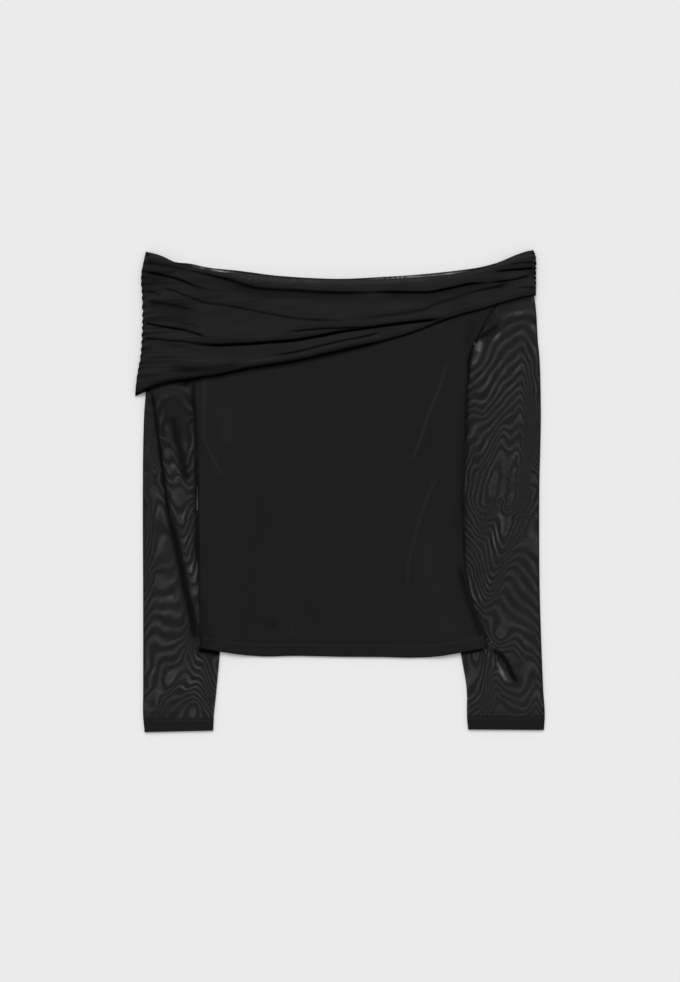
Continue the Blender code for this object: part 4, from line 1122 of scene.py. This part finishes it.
class ColourSettings(bpy.types.PropertyGroup):
    """Colours of the cloth, thread, label and floor"""
    lined: colour("Lined mesh", "Black of the body and the band", (0.0081, 0.0081, 0.0081))
    lined_cool: colour("Cool patches", "Cooler black in patches", (0.0097, 0.0097, 0.0100))
    # Colour of painted highlights on ridges and folds, and of paler patches and edges
    highlight_and_pale: colour("Lit ridges", "Palest cloth, on ridges and thin places", (0.045, 0.045, 0.045))
    sheer: colour("Sheer mesh", "Black of the sleeves' threads", (0.008, 0.008, 0.0082))
    sheer_warm: colour("Warm patches", "Warmer black in patches", (0.010, 0.010, 0.0096))
    thread: colour("Thread", "Sewing thread", (0.009, 0.009, 0.009))
    thread_light: colour("Thread light", "Lit side of the threads", (0.014, 0.014, 0.0142))
    label: colour("Label", "Blank label tape", (0.085, 0.085, 0.085))
    floor: colour("Floor", "Pale floor", (0.83, 0.83, 0.83))
    sheer_cover: bpy.props.FloatProperty(
        name="Sheer cover", description="Share of the light that one sheer layer stops",
        default=0.425, min=0, max=1)
    fringe_contrast: bpy.props.FloatProperty(
        name="Fringe contrast", description="How far the fringes open and close", default=0.42, min=0, max=1)


class StageSettings(bpy.types.PropertyGroup):
    """Camera and light"""
    camera_height: length("Camera height", "Height of the camera above the garment", 3.546)
    lens: bpy.props.FloatProperty(name="Lens", description="Focal length", default=100.0, unit="CAMERA")
    sky: bpy.props.FloatProperty(name="Sky", description="Strength of the even light", default=0.6)
    sun: bpy.props.FloatProperty(name="Lamp", description="Strength of the soft lamp", default=1.55)


# Pieces

class MESHTOP_OT_band_back(bpy.types.Operator):
    """Back of the band: its bound top edge shows above the front, with slits of single mesh under it"""
    bl_idname = "meshtop.band_back"
    bl_label = "Band back"

    def execute(self, context):
        cloth, colours = context.scene.meshtop_cloth, context.scene.meshtop_colours
        plan, _ = band_plan(110, 260, band_back_top, cloth)
        x, y = plan[..., 0], plan[..., 1]
        depth = band_back_top(x) - y
        rim = ease(1.0 - (depth - 0.8) / 0.6) * neck_rim(x)
        under = ease((y - band_front_top(x) + 7.0) / 1.5)
        opening = under * (1.0 - rim) * (neck_opening(x) + 0.12 * grain(x, y, 7.0, 2.0, 3))
        ticked = ease((x - TICKS_FROM) / 8.0) * ease((TICKS_TO - x) / 8.0)
        opening = opening * (1.0 - 0.45 * ticked * (0.5 + 0.5 * np.sin(x * 2.0 * np.pi / NECK_TICK)))
        solid = 1.0 - np.clip(under * (1.0 - rim), 0.0, 1.0)
        top = np.full(x.shape, cloth.shell * METRE) + 0.3 * rim
        values = dict(opening=opening, solid=solid, dark=0.0)
        piece = cloth_grid("band_back_cloth", np.dstack([x, y, top]), values)
        material = sheer_mesh(colours, "sheer_neck_edge", fringed=False)
        finish_cloth(piece, cloth.shell, material)
        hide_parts("band_back")
        return {"FINISHED"}


class MESHTOP_OT_back_panel(bpy.types.Operator):
    """Back of the body, flat on the floor between the sleeves"""
    bl_idname = "meshtop.back_panel"
    bl_label = "Back panel"

    def execute(self, context):
        cloth, colours = context.scene.meshtop_cloth, context.scene.meshtop_colours
        plan = body_plan(150, 110, BACK_HEM_SHORT)
        x, y = plan[..., 0], plan[..., 1]
        top = back_panel_bottom(x, y) + cloth.shell * METRE
        piece = cloth_grid("back_panel_cloth", np.dstack([x, y, top]), dict(dark=0.0, light=0.0))
        material = stored_material("lined_mesh_cloth", lined_mesh, colours)
        finish_cloth(piece, cloth.shell, material)
        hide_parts("back_panel")
        return {"FINISHED"}


class MESHTOP_OT_front_panel(bpy.types.Operator):
    """Front of the body, with its soft diagonal folds and turned hem"""
    bl_idname = "meshtop.front_panel"
    bl_label = "Front panel"

    def execute(self, context):
        cloth, colours = context.scene.meshtop_cloth, context.scene.meshtop_colours
        plan = body_plan(250, 180, 0.0)
        x, y = plan[..., 0], plan[..., 1]
        from_side = np.minimum(x - body_left(y), body_right(y) - x)
        from_hem_stitches = np.abs(y - hem_height(x) - HEM_DEPTH)
        uneven = 0.35 * grain(x, y, 70.0, 120.0, 1) + 0.18 * grain(x, y, 22.0, 40.0, 2)
        top = front_panel_bottom(x, y, cloth) + WALL
        top = top + ease(from_side / 8.0) * uneven
        top = top - 0.25 * ease(1.0 - from_hem_stitches / 1.6)
        # Darker side seams: the seam's doubled cloth, and painted shade where the cloth turns over the edge
        seam = (0.5 + 0.25 * grain(x, y, 30.0, 30.0, 14)) * ease(1.3 - from_side / 3.0)
        # Painted shade along the turned hem's lower edge
        hem = 0.5 * ease(1.0 - (y - hem_height(x)) / 2.5)
        # Slightly darker along the hem's stitch line, where the cloth dips
        stitch_line_darker = 0.12 * ease(1.0 - from_hem_stitches)
        # Painted shadow below the band and painted shade along the body's folds and edges, with the seams'
        # darkness
        dark = np.maximum.reduce([band_shadow(x, y), seam, hem, toned(x, y, BODY_SHADES), stitch_line_darker])
        # Painted highlights along the folds, and a little paler toward the top
        light = toned(x, y, BODY_HIGHLIGHTS) + 0.02 * ease((y - 60.0) / 80.0)
        piece = cloth_grid("front_panel_cloth", np.dstack([x, y, top]), dict(dark=dark, light=light))
        material = stored_material("lined_mesh_cloth", lined_mesh, colours)
        finish_cloth(piece, cloth.shell, material)
        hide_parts("front_panel")
        return {"FINISHED"}


def rounded_edge(middle, reach, turns):
    """Places across and levels round a folded edge, at turns from -90 to 90 degrees."""
    return [middle + reach * np.cos(turn) for turn in turns], [0.5 + 0.5 * np.sin(turn) for turn in turns]


def sleeve_rings(side, cloth):
    """Points of a sleeve's outer face, ring by ring, each from the fold under the body round to it again.

    A level of 0 is the lower face and 1 the upper one. Above the underarm a ring is open at the armhole.
    """
    sign, underarm = SIGN[side], UNDERARM[side]
    heights = np.concatenate([
        np.linspace(SLEEVE_ROWS[side][0].height + 1.0, underarm, 270),
        np.linspace(underarm, TOP_HEIGHT, 46)[1:],
    ])
    upper_shares, lower_shares = np.linspace(0.0, 1.0, 100), np.linspace(0.0, 1.0, 24)
    turns = np.radians((-67.5, -45, -22.5, 0, 22.5, 45, 67.5))
    lower_turns, upper_turns = turns[:4][::-1], turns[3:][::-1]
    radius = SLEEVE_HEIGHT / 2
    rings, ring_levels = [], []
    for number, height in enumerate(heights):
        opened = height > underarm + 0.01
        outer_x = float(sleeve_outer[side](height))
        if opened:
            inner_x = float(armhole_across(side, height)) + sign * SEAM_GAP
            start = inner_x
            lower_edge, upper_edge = ([start] * 4, [0.0] * 4), ([start] * 4, [1.0] * 4)
        else:
            tuck = ease((underarm - height) / 8.0) * ease((height - 110.0) / 30.0)
            inner_x = float(sleeve_inner[side](height)) - sign * 5.0 * float(tuck)
            start = inner_x + sign * radius
            lower_edge = rounded_edge(start, -sign * radius, lower_turns)
            upper_edge = rounded_edge(start, -sign * radius, upper_turns)
        end = outer_x - sign * radius
        outer_edge = rounded_edge(end, sign * radius, turns)
        lower_face, upper_face = start + lower_shares * (end - start), end - upper_shares * (end - start)
        x = np.concatenate([lower_edge[0], lower_face, outer_edge[0], upper_face, upper_edge[0]])
        low_levels, high_levels = np.zeros(lower_shares.shape), np.ones(upper_shares.shape)
        level = np.concatenate([lower_edge[1], low_levels, outer_edge[1], high_levels, upper_edge[1]])
        y = np.full(x.shape, height)
        if number == 0:
            share = (x - outer_x) / (inner_x - outer_x)
            y = CUFF_ENDS[side][0] + share * (CUFF_ENDS[side][1] - CUFF_ENDS[side][0])
        low = sleeve_bottom(x, y)
        high = sleeve_front_bottom(side, x, y, cloth) + WALL
        rings.append(np.stack([x, y, low + level * (high - low)], axis=-1))
        ring_levels.append(level)
    rings, levels = np.array(rings), np.array(ring_levels)
    if side == "right":
        rings, levels = rings[:, ::-1], levels[:, ::-1]
    return rings, levels


def bending(distance):
    """How strongly one place of a thin bent plate acts on another."""
    return distance ** 2 * np.log(distance + 1e-9)


def fringe_phase(side, x, y):
    """Fringe number at each place of a sleeve: a thin plate bent through the numbered lines."""
    places = np.array([point for fringe in FRINGES[side] for point in fringe.line]) / 100.0
    numbers = np.array([float(fringe.number) for fringe in FRINGES[side] for _ in fringe.line])
    count = len(places)
    apart = np.linalg.norm(places[:, None] - places[None], axis=-1)
    tilt = np.hstack([np.ones((count, 1)), places])
    system = np.zeros((count + 3, count + 3))
    system[:count, :count] = bending(apart) + 2e-5 * np.eye(count)
    system[:count, count:] = tilt
    system[count:, :count] = tilt.T
    weights = np.linalg.solve(system, np.concatenate([numbers, np.zeros(3)]))
    wanted = np.stack([x.ravel(), y.ravel()], axis=-1) / 100.0
    phase = np.empty(len(wanted))
    for first in range(0, len(wanted), 4000):
        part = wanted[first:first + 4000]
        away = np.linalg.norm(part[:, None] - places[None], axis=-1)
        bent = bending(away) @ weights[:count]
        phase[first:first + 4000] = bent + weights[count] + part @ weights[count + 1:]
    return phase.reshape(x.shape) + 0.06 * grain(x, y, 12.0, 12.0, 5)


def fringe_gain(side, x, y, phase):
    """How strongly the fringes show: less where they run so close that the eye can't part them."""
    gain = 0.7 + 0.35 * grain(x, y, 14.0, 18.0, 8) + 0.35 * grain(x, y, 6.0, 6.0, 9)
    for patch in FRINGE_GAINS[side]:
        away = ((x - patch.across) / patch.reach_across) ** 2 + ((y - patch.height) / patch.reach_height) ** 2
        gain = gain + patch.gain * np.exp(-away)
    beside, beyond = fringe_phase(side, x + 1.0, y), fringe_phase(side, x, y + 1.0)
    tight = np.hypot(beside - phase, beyond - phase)
    return np.clip(gain, 0.03, 2.2) * ease((0.44 - tight) / 0.16)


class MESHTOP_OT_sleeves(bpy.types.Operator):
    """Both sheer sleeves, flattened tubes that run under the body, with turned cuffs"""
    bl_idname = "meshtop.sleeves"
    bl_label = "Sleeves"

    def execute(self, context):
        cloth, colours = context.scene.meshtop_cloth, context.scene.meshtop_colours
        material = stored_material("sheer_mesh_cloth", sheer_mesh, colours)
        for side in SIGN:
            rings, level = sleeve_rings(side, cloth)
            x, y, z = rings[..., 0], rings[..., 1], rings[..., 2]
            on_top = level > 0.99
            from_outer, from_inner = np.abs(x - sleeve_outer[side](y)), np.abs(x - sleeve_inner[side](y))
            flat_share = ease(np.minimum(from_outer, from_inner) / 12.0)
            z = z + on_top * flat_share * 0.25 * grain(x, y, 40.0, 60.0, 4)
            dark = np.zeros(x.shape)
            # Darker seams and folds, and painted shadow below the hem and beside the body's edges
            for line in SLEEVE_LINES:
                if line.side == side:
                    away, along = distance_to_line(x, y, line.line)
                    ends = faded_ends(along, 0.08)
                    dark = np.maximum(dark, line.depth * ease(1.0 - away / line.half_width) * ends)
                    z = z + on_top * 0.5 * line.depth * ease(1.0 - away / (1.6 * line.half_width)) * ends
            cuff = ease((SLEEVE_ROWS[side][0].height + HEM_DEPTH - y) / 1.2)
            top = ease((y - band_lower(x) + 1.0) / 4.0)
            rim = ease(1.2 - from_outer / 1.4)
            glow = np.zeros(x.shape)
            for line in SLEEVE_GLOWS:
                if line.side == side:
                    away, _ = distance_to_line(x, y, line.line)
                    glow = np.maximum(glow, line.strength * ease(1.25 - away / line.half_width))
            armhole = ease(1.0 - (np.abs(x - armhole_across(side, y)) - 1.0) / 1.6) * (y > UNDERARM[side])
            # The lines' darkness, painted shadow included, also makes the mesh opaque there
            solid = np.clip(np.maximum.reduce([cuff, top, 0.8 * rim, armhole, 0.85 * dark]), 0.0, 1.0)
            phase = fringe_phase(side, x, y)
            gain = fringe_gain(side, x, y, phase) * (level > 0.5)
            dark = np.maximum(dark, band_shadow(x, y) * (y < band_lower(x) + 1.0))
            dark = np.maximum(dark * (1.0 - glow), 0.0) * (level > 0.5)
            values = dict(fringe=phase, fringe_gain=gain, solid=solid * (1.0 - glow), glow=glow, dark=dark)
            piece = cloth_grid("sleeve_%s_cloth" % side, np.dstack([x, y, z]), values)
            finish_cloth(piece, cloth.sheer_shell, material, merge=True)
            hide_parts("sleeve_" + side)
        return {"FINISHED"}


def near_band_ends(x, y):
    """1 at the band's gathered ends, falling to 0 in its smooth middle."""
    room = room_at_ends(x, y)
    return np.maximum(ease(1.0 - room["left"] / 110.0), ease(1.0 - room["right"] / 80.0))


def band_shade_and_patches(x, y, creases, fine, cloudy):
    """How dark the band's front is: painted shade in its creases and along its turned lower edge, dull random
    patches, and uneven darkening right at its ends.
    """
    room = room_at_ends(x, y)
    near_ends = 0.3 + 0.7 * near_band_ends(x, y)
    # Painted shade along the band's turned lower edge
    turned = np.clip(1.05 - (y - band_lower(x)) / wider_left(x, 2.4, 2.6), 0.0, 1.0)
    dark = np.maximum(creases, turned)
    dark = dark + (0.35 * np.clip(-fine, 0.0, 1.0) + 0.45 * np.clip(-cloudy, 0.0, 1.0)) * near_ends
    # Uneven darkening within a few millimetres of the band's ends
    darker_near_ends = ease(1.0 - np.minimum(room["left"], room["right"]) / 5.0)
    return np.clip(dark + 0.5 * darker_near_ends * np.clip(grain(x, y, 3.0, 3.0, 17), 0.0, 1.0), 0.0, 1.0)


def band_pale_and_highlight(x, y, ridge, fine, cloudy):
    """How pale the band's front is: paler overall and in patches, a painted highlight along the raised fold,
    and its paler, specked top edge.
    """
    near_ends = 0.3 + 0.7 * near_band_ends(x, y)
    from_top = band_front_top(x) - y
    # A paler strip along the band's top edge
    pale_top_edge = ease((x + 150.0) / 24.0) * ease((122.0 - x) / 20.0) * ease((9.0 - from_top) / 4.0)
    specks = np.clip(grain(x, y, 4.0, 2.2, 31) - 0.05, 0.0, 1.0)
    specks = specks * ease((x + 146.0) / 12.0) * ease((-12.0 - x) / 20.0)
    specks = specks * ease((14.0 - from_top) / 4.0)
    patches = (0.1 * fine + 0.12 * cloudy) * near_ends
    # Paler overall and in random patches, with a painted highlight along the raised fold
    light = 0.075 + 0.04 * ease((x + 200.0) / 200.0) + patches + 0.2 * ridge
    return np.clip(light + 0.14 * pale_top_edge + 0.45 * specks, 0.0, 1.0)


class MESHTOP_OT_band_front(bpy.types.Operator):
    """Front of the band, with its long folds and the gathers at its ends"""
    bl_idname = "meshtop.band_front"
    bl_label = "Band front"

    def execute(self, context):
        cloth, colours = context.scene.meshtop_cloth, context.scene.meshtop_colours
        plan, share = band_plan(150, 300, band_front_top, cloth)
        x, y = plan[..., 0], plan[..., 1]
        folds, gathers, creases = band_relief(x, y, share, cloth)
        slanted = y - 0.06 * x
        streaks = grain(x, slanted, 70.0, 4.5, 11) * (0.12 + 0.4 * near_band_ends(x, y))
        swell = 0.4 * grain(x, y, 60.0, 16.0, 12)
        away, along = distance_to_line(x, y, RIDGE_LINE)
        ridge = ease(1.0 - away / 1.2) * ease((1.0 - along) / 0.15)
        top = band_front_support(x, y, cloth) + BAND_WALL + folds + gathers
        top = top + ease(folds / 1.5) * (streaks + swell) + 0.35 * ridge
        fine = grain(x, slanted, 46.0, 3.2, 13)
        cloudy = grain(x, slanted, 44.0, 9.0, 15)
        dark, light = band_shade_and_patches(x, y, creases, fine, cloudy), band_pale_and_highlight(x, y, ridge, fine, cloudy)
        piece = cloth_grid("band_front_cloth", np.dstack([x, y, top]), dict(dark=dark, light=light))
        material = stored_material("lined_mesh_cloth", lined_mesh, colours)
        finish_cloth(piece, cloth.shell, material)
        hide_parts("band_front")
        return {"FINISHED"}


class MESHTOP_OT_care_label(bpy.types.Operator):
    """Edge of the blank label in the left side seam"""
    bl_idname = "meshtop.care_label"
    bl_label = "Care label"

    def execute(self, context):
        colours = context.scene.meshtop_colours
        rows = columns = 24
        y = np.repeat(np.linspace(LABEL_BOTTOM, LABEL_TOP, rows)[:, None], columns, axis=1)
        inset = -LABEL_FAR + np.linspace(0.0, 1.0, columns)[None, :] * (LABEL_FAR + LABEL_SEWN)
        x = body_left(y) + inset
        top = ON_SLEEVE + 0.75 + 0.75 * ease((inset + 0.6) / 2.0) + 0.08 * np.sin(y * 0.25)
        # Painted shade of the seam: black where the label stands out of it, and darker toward the label's top
        tone = ease((inset + 1.7) / 0.5) * (0.4 + 0.6 * ease((-y - 2.0) / 14.0))
        piece = cloth_grid("care_label_tape", np.dstack([x, y, top]), dict(dark=1.0 - tone))
        finish_cloth(piece, 0.0003, stored_material("label_tape_weave", label_tape, colours))
        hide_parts("care_label")
        return {"FINISHED"}


def stitch_rows(name, rows, radius, material):
    """One joined mesh of small stitches, each laid along its row of (points, stitch length, gap)."""
    deselect()
    bpy.ops.mesh.primitive_uv_sphere_add(segments=6, ring_count=4, radius=0.5)
    pattern = bpy.context.object
    bead = np.array([vertex.co[:] for vertex in pattern.data.vertices])
    sides = [tuple(polygon.vertices) for polygon in pattern.data.polygons]
    bpy.data.objects.remove(pattern, do_unlink=True)
    points, faces = [], []
    for line, long, gap in rows:
        steps = np.linalg.norm(np.diff(line, axis=0), axis=1)
        passed = np.concatenate([[0.0], np.cumsum(steps)])
        count = int(passed[-1] / (long + gap))
        for number in range(count):
            middle = (number + 0.5) * (long + gap)
            start, end = (
                np.array([np.interp(middle + half, passed, line[:, axis]) for axis in range(3)])
                for half in (-long / 2, long / 2))
            along = (end - start) / max(np.linalg.norm(end - start), 1e-6)
            aside = np.cross([0.0, 0.0, 1.0], along)
            upward = np.cross(along, aside)
            turned = (
                bead[:, 2:3] * long * along
                + bead[:, 0:1] * 2 * radius * aside
                + bead[:, 1:2] * 2 * radius * upward)
            first = len(points)
            points += list(((start + end) / 2 + turned) * MM)
            faces += [tuple(first + corner for corner in side) for side in sides]
    mesh = bpy.data.meshes.new(name)
    mesh.from_pydata(points, [], faces)
    mesh.materials.append(material)
    mesh.shade_smooth()
    piece = bpy.data.objects.new(name, mesh)
    bpy.context.scene.collection.objects.link(piece)
    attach(piece, BODY)


class MESHTOP_OT_stitching(bpy.types.Operator):
    """Stitch rows of the hem, the cuffs and the band's ends"""
    bl_idname = "meshtop.stitching"
    bl_label = "Stitching"

    def execute(self, context):
        cloth, colours = context.scene.meshtop_cloth, context.scene.meshtop_colours
        thread = stored_material("sewing_thread", sewing_thread, colours)
        rows = []
        for inset in (HEM_DEPTH - 3.2, HEM_DEPTH - 0.8):
            x = np.linspace(-178.0, 186.0, 400)
            y = hem_height(x) + inset
            x = np.clip(x, body_left(y) + 1.5, body_right(y) - 1.5)
            height = front_panel_bottom(x, y, cloth) + WALL + 0.1
            rows.append((np.stack([x, y, height], axis=-1), *HEM_STITCH))
        stitch_rows("hem_stitches", rows, 0.28, thread)
        rows = []
        for side in SIGN:
            edges = sorted(curve[side](SLEEVE_ROWS[side][1].height) for curve in (sleeve_inner, sleeve_outer))
            for inset in (HEM_DEPTH - 3.0, HEM_DEPTH - 0.8):
                x = np.linspace(edges[0] + 2.5, edges[1] - 2.5, 120)
                y = np.full(x.shape, SLEEVE_ROWS[side][0].height + inset)
                height = sleeve_front_bottom(side, x, y, cloth) + WALL + 0.1
                rows.append((np.stack([x, y, height], axis=-1), *HEM_STITCH))
        stitch_rows("cuff_stitches", rows, 0.26, thread)
        rows = []
        for inset in (1.4, 3.4):
            y = np.linspace(135.0, 303.0, 300)
            x = band_left_end(y) + inset + 0.5
            rows.append((np.stack([x, y, self.band_height(x, y, cloth)], axis=-1), *END_STITCH))
        y = np.linspace(257.0, 309.0, 120)
        x = band_right_end(y) - 4.0
        rows.append((np.stack([x, y, self.band_height(x, y, cloth)], axis=-1), *END_STITCH))
        stitch_rows("band_end_stitches", rows, 0.3, thread)
        return {"FINISHED"}

    @staticmethod
    def band_height(x, y, cloth):
        """Top of the band's front at places near its ends, gathers included."""
        shares = {side: (y - low) / (high - low) for side, (low, high) in BAND_CORNERS.items()}
        share = np.where(x < 0.0, shares["left"], shares["right"])
        folds, gathers, _ = band_relief(x, y, share, cloth)
        return band_front_support(x, y, cloth) + BAND_WALL + folds + gathers + 0.1


class MESHTOP_OT_stage(bpy.types.Operator):
    """Pale floor, soft light and the camera straight above the garment"""
    bl_idname = "meshtop.stage"
    bl_label = "Stage"

    def execute(self, context):
        stage, colours = context.scene.meshtop_stage, context.scene.meshtop_colours
        floor_size, just_below = 12.0, -0.0004
        deselect()
        bpy.ops.mesh.primitive_plane_add(size=floor_size, location=(0.0, 0.0, 0.0))
        floor = context.object
        floor.name = "floor"
        for vertex in floor.data.vertices:
            vertex.co.z = just_below
        floor.data.materials.append(floor_surface(colours))
        world = bpy.data.worlds.new("even_light")
        world.use_nodes = True
        background = world.node_tree.nodes["Background"]
        background.inputs["Color"].default_value = (1.0, 1.0, 1.0, 1.0)
        background.inputs["Strength"].default_value = stage.sky
        context.scene.world = world
        lamp = bpy.data.lights.new("soft_lamp", "SUN")
        lamp.energy = stage.sun
        lamp.angle = 0.7
        lamp_object = bpy.data.objects.new("soft_lamp", lamp)
        lamp_object.rotation_euler = (-0.55, -0.18, 0.0)
        context.scene.collection.objects.link(lamp_object)
        camera = bpy.data.cameras.new("camera")
        camera.lens = stage.lens
        camera.sensor_width = 36.0
        camera_object = bpy.data.objects.new("camera", camera)
        camera_object.location = (0.0, 0.0, stage.camera_height)
        context.scene.collection.objects.link(camera_object)
        context.scene.camera = camera_object
        context.scene.view_settings.view_transform = "Standard"
        return {"FINISHED"}


class MESHTOP_PT_panel(bpy.types.Panel):
    """Settings of the mesh top, and a button for each of its pieces"""
    bl_label = "Mesh top"
    bl_idname = "MESHTOP_PT_panel"
    bl_space_type = "VIEW_3D"
    bl_region_type = "UI"
    bl_category = "Mesh top"

    def draw(self, context):
        scene = context.scene
        for group in (scene.meshtop_cloth, scene.meshtop_colours, scene.meshtop_stage):
            box = self.layout.box()
            for name in group.__annotations__:
                box.prop(group, name)
        for operator in OPERATORS:
            self.layout.operator(operator.bl_idname)


OPERATORS = (
    MESHTOP_OT_stage,
    MESHTOP_OT_band_back,
    MESHTOP_OT_sleeves,
    MESHTOP_OT_back_panel,
    MESHTOP_OT_front_panel,
    MESHTOP_OT_band_front,
    MESHTOP_OT_care_label,
    MESHTOP_OT_stitching,
)
CLASSES = (ClothSettings, ColourSettings, StageSettings) + OPERATORS + (MESHTOP_PT_panel,)


def register():
    """Adds the classes and the scene's settings."""
    for cls in CLASSES:
        bpy.utils.register_class(cls)
    bpy.types.Scene.meshtop_cloth = bpy.props.PointerProperty(type=ClothSettings)
    bpy.types.Scene.meshtop_colours = bpy.props.PointerProperty(type=ColourSettings)
    bpy.types.Scene.meshtop_stage = bpy.props.PointerProperty(type=StageSettings)


def unregister():
    """Takes them away again."""
    del bpy.types.Scene.meshtop_cloth
    del bpy.types.Scene.meshtop_colours
    del bpy.types.Scene.meshtop_stage
    for cls in reversed(CLASSES):
        bpy.utils.unregister_class(cls)


def main():
    """Makes the stage and every piece."""
    register()
    bpy.ops.meshtop.stage()
    bpy.ops.meshtop.band_back()
    bpy.ops.meshtop.sleeves()
    bpy.ops.meshtop.back_panel()
    bpy.ops.meshtop.front_panel()
    bpy.ops.meshtop.band_front()
    bpy.ops.meshtop.care_label()
    bpy.ops.meshtop.stitching()


if __name__ == "__main__":
    main()
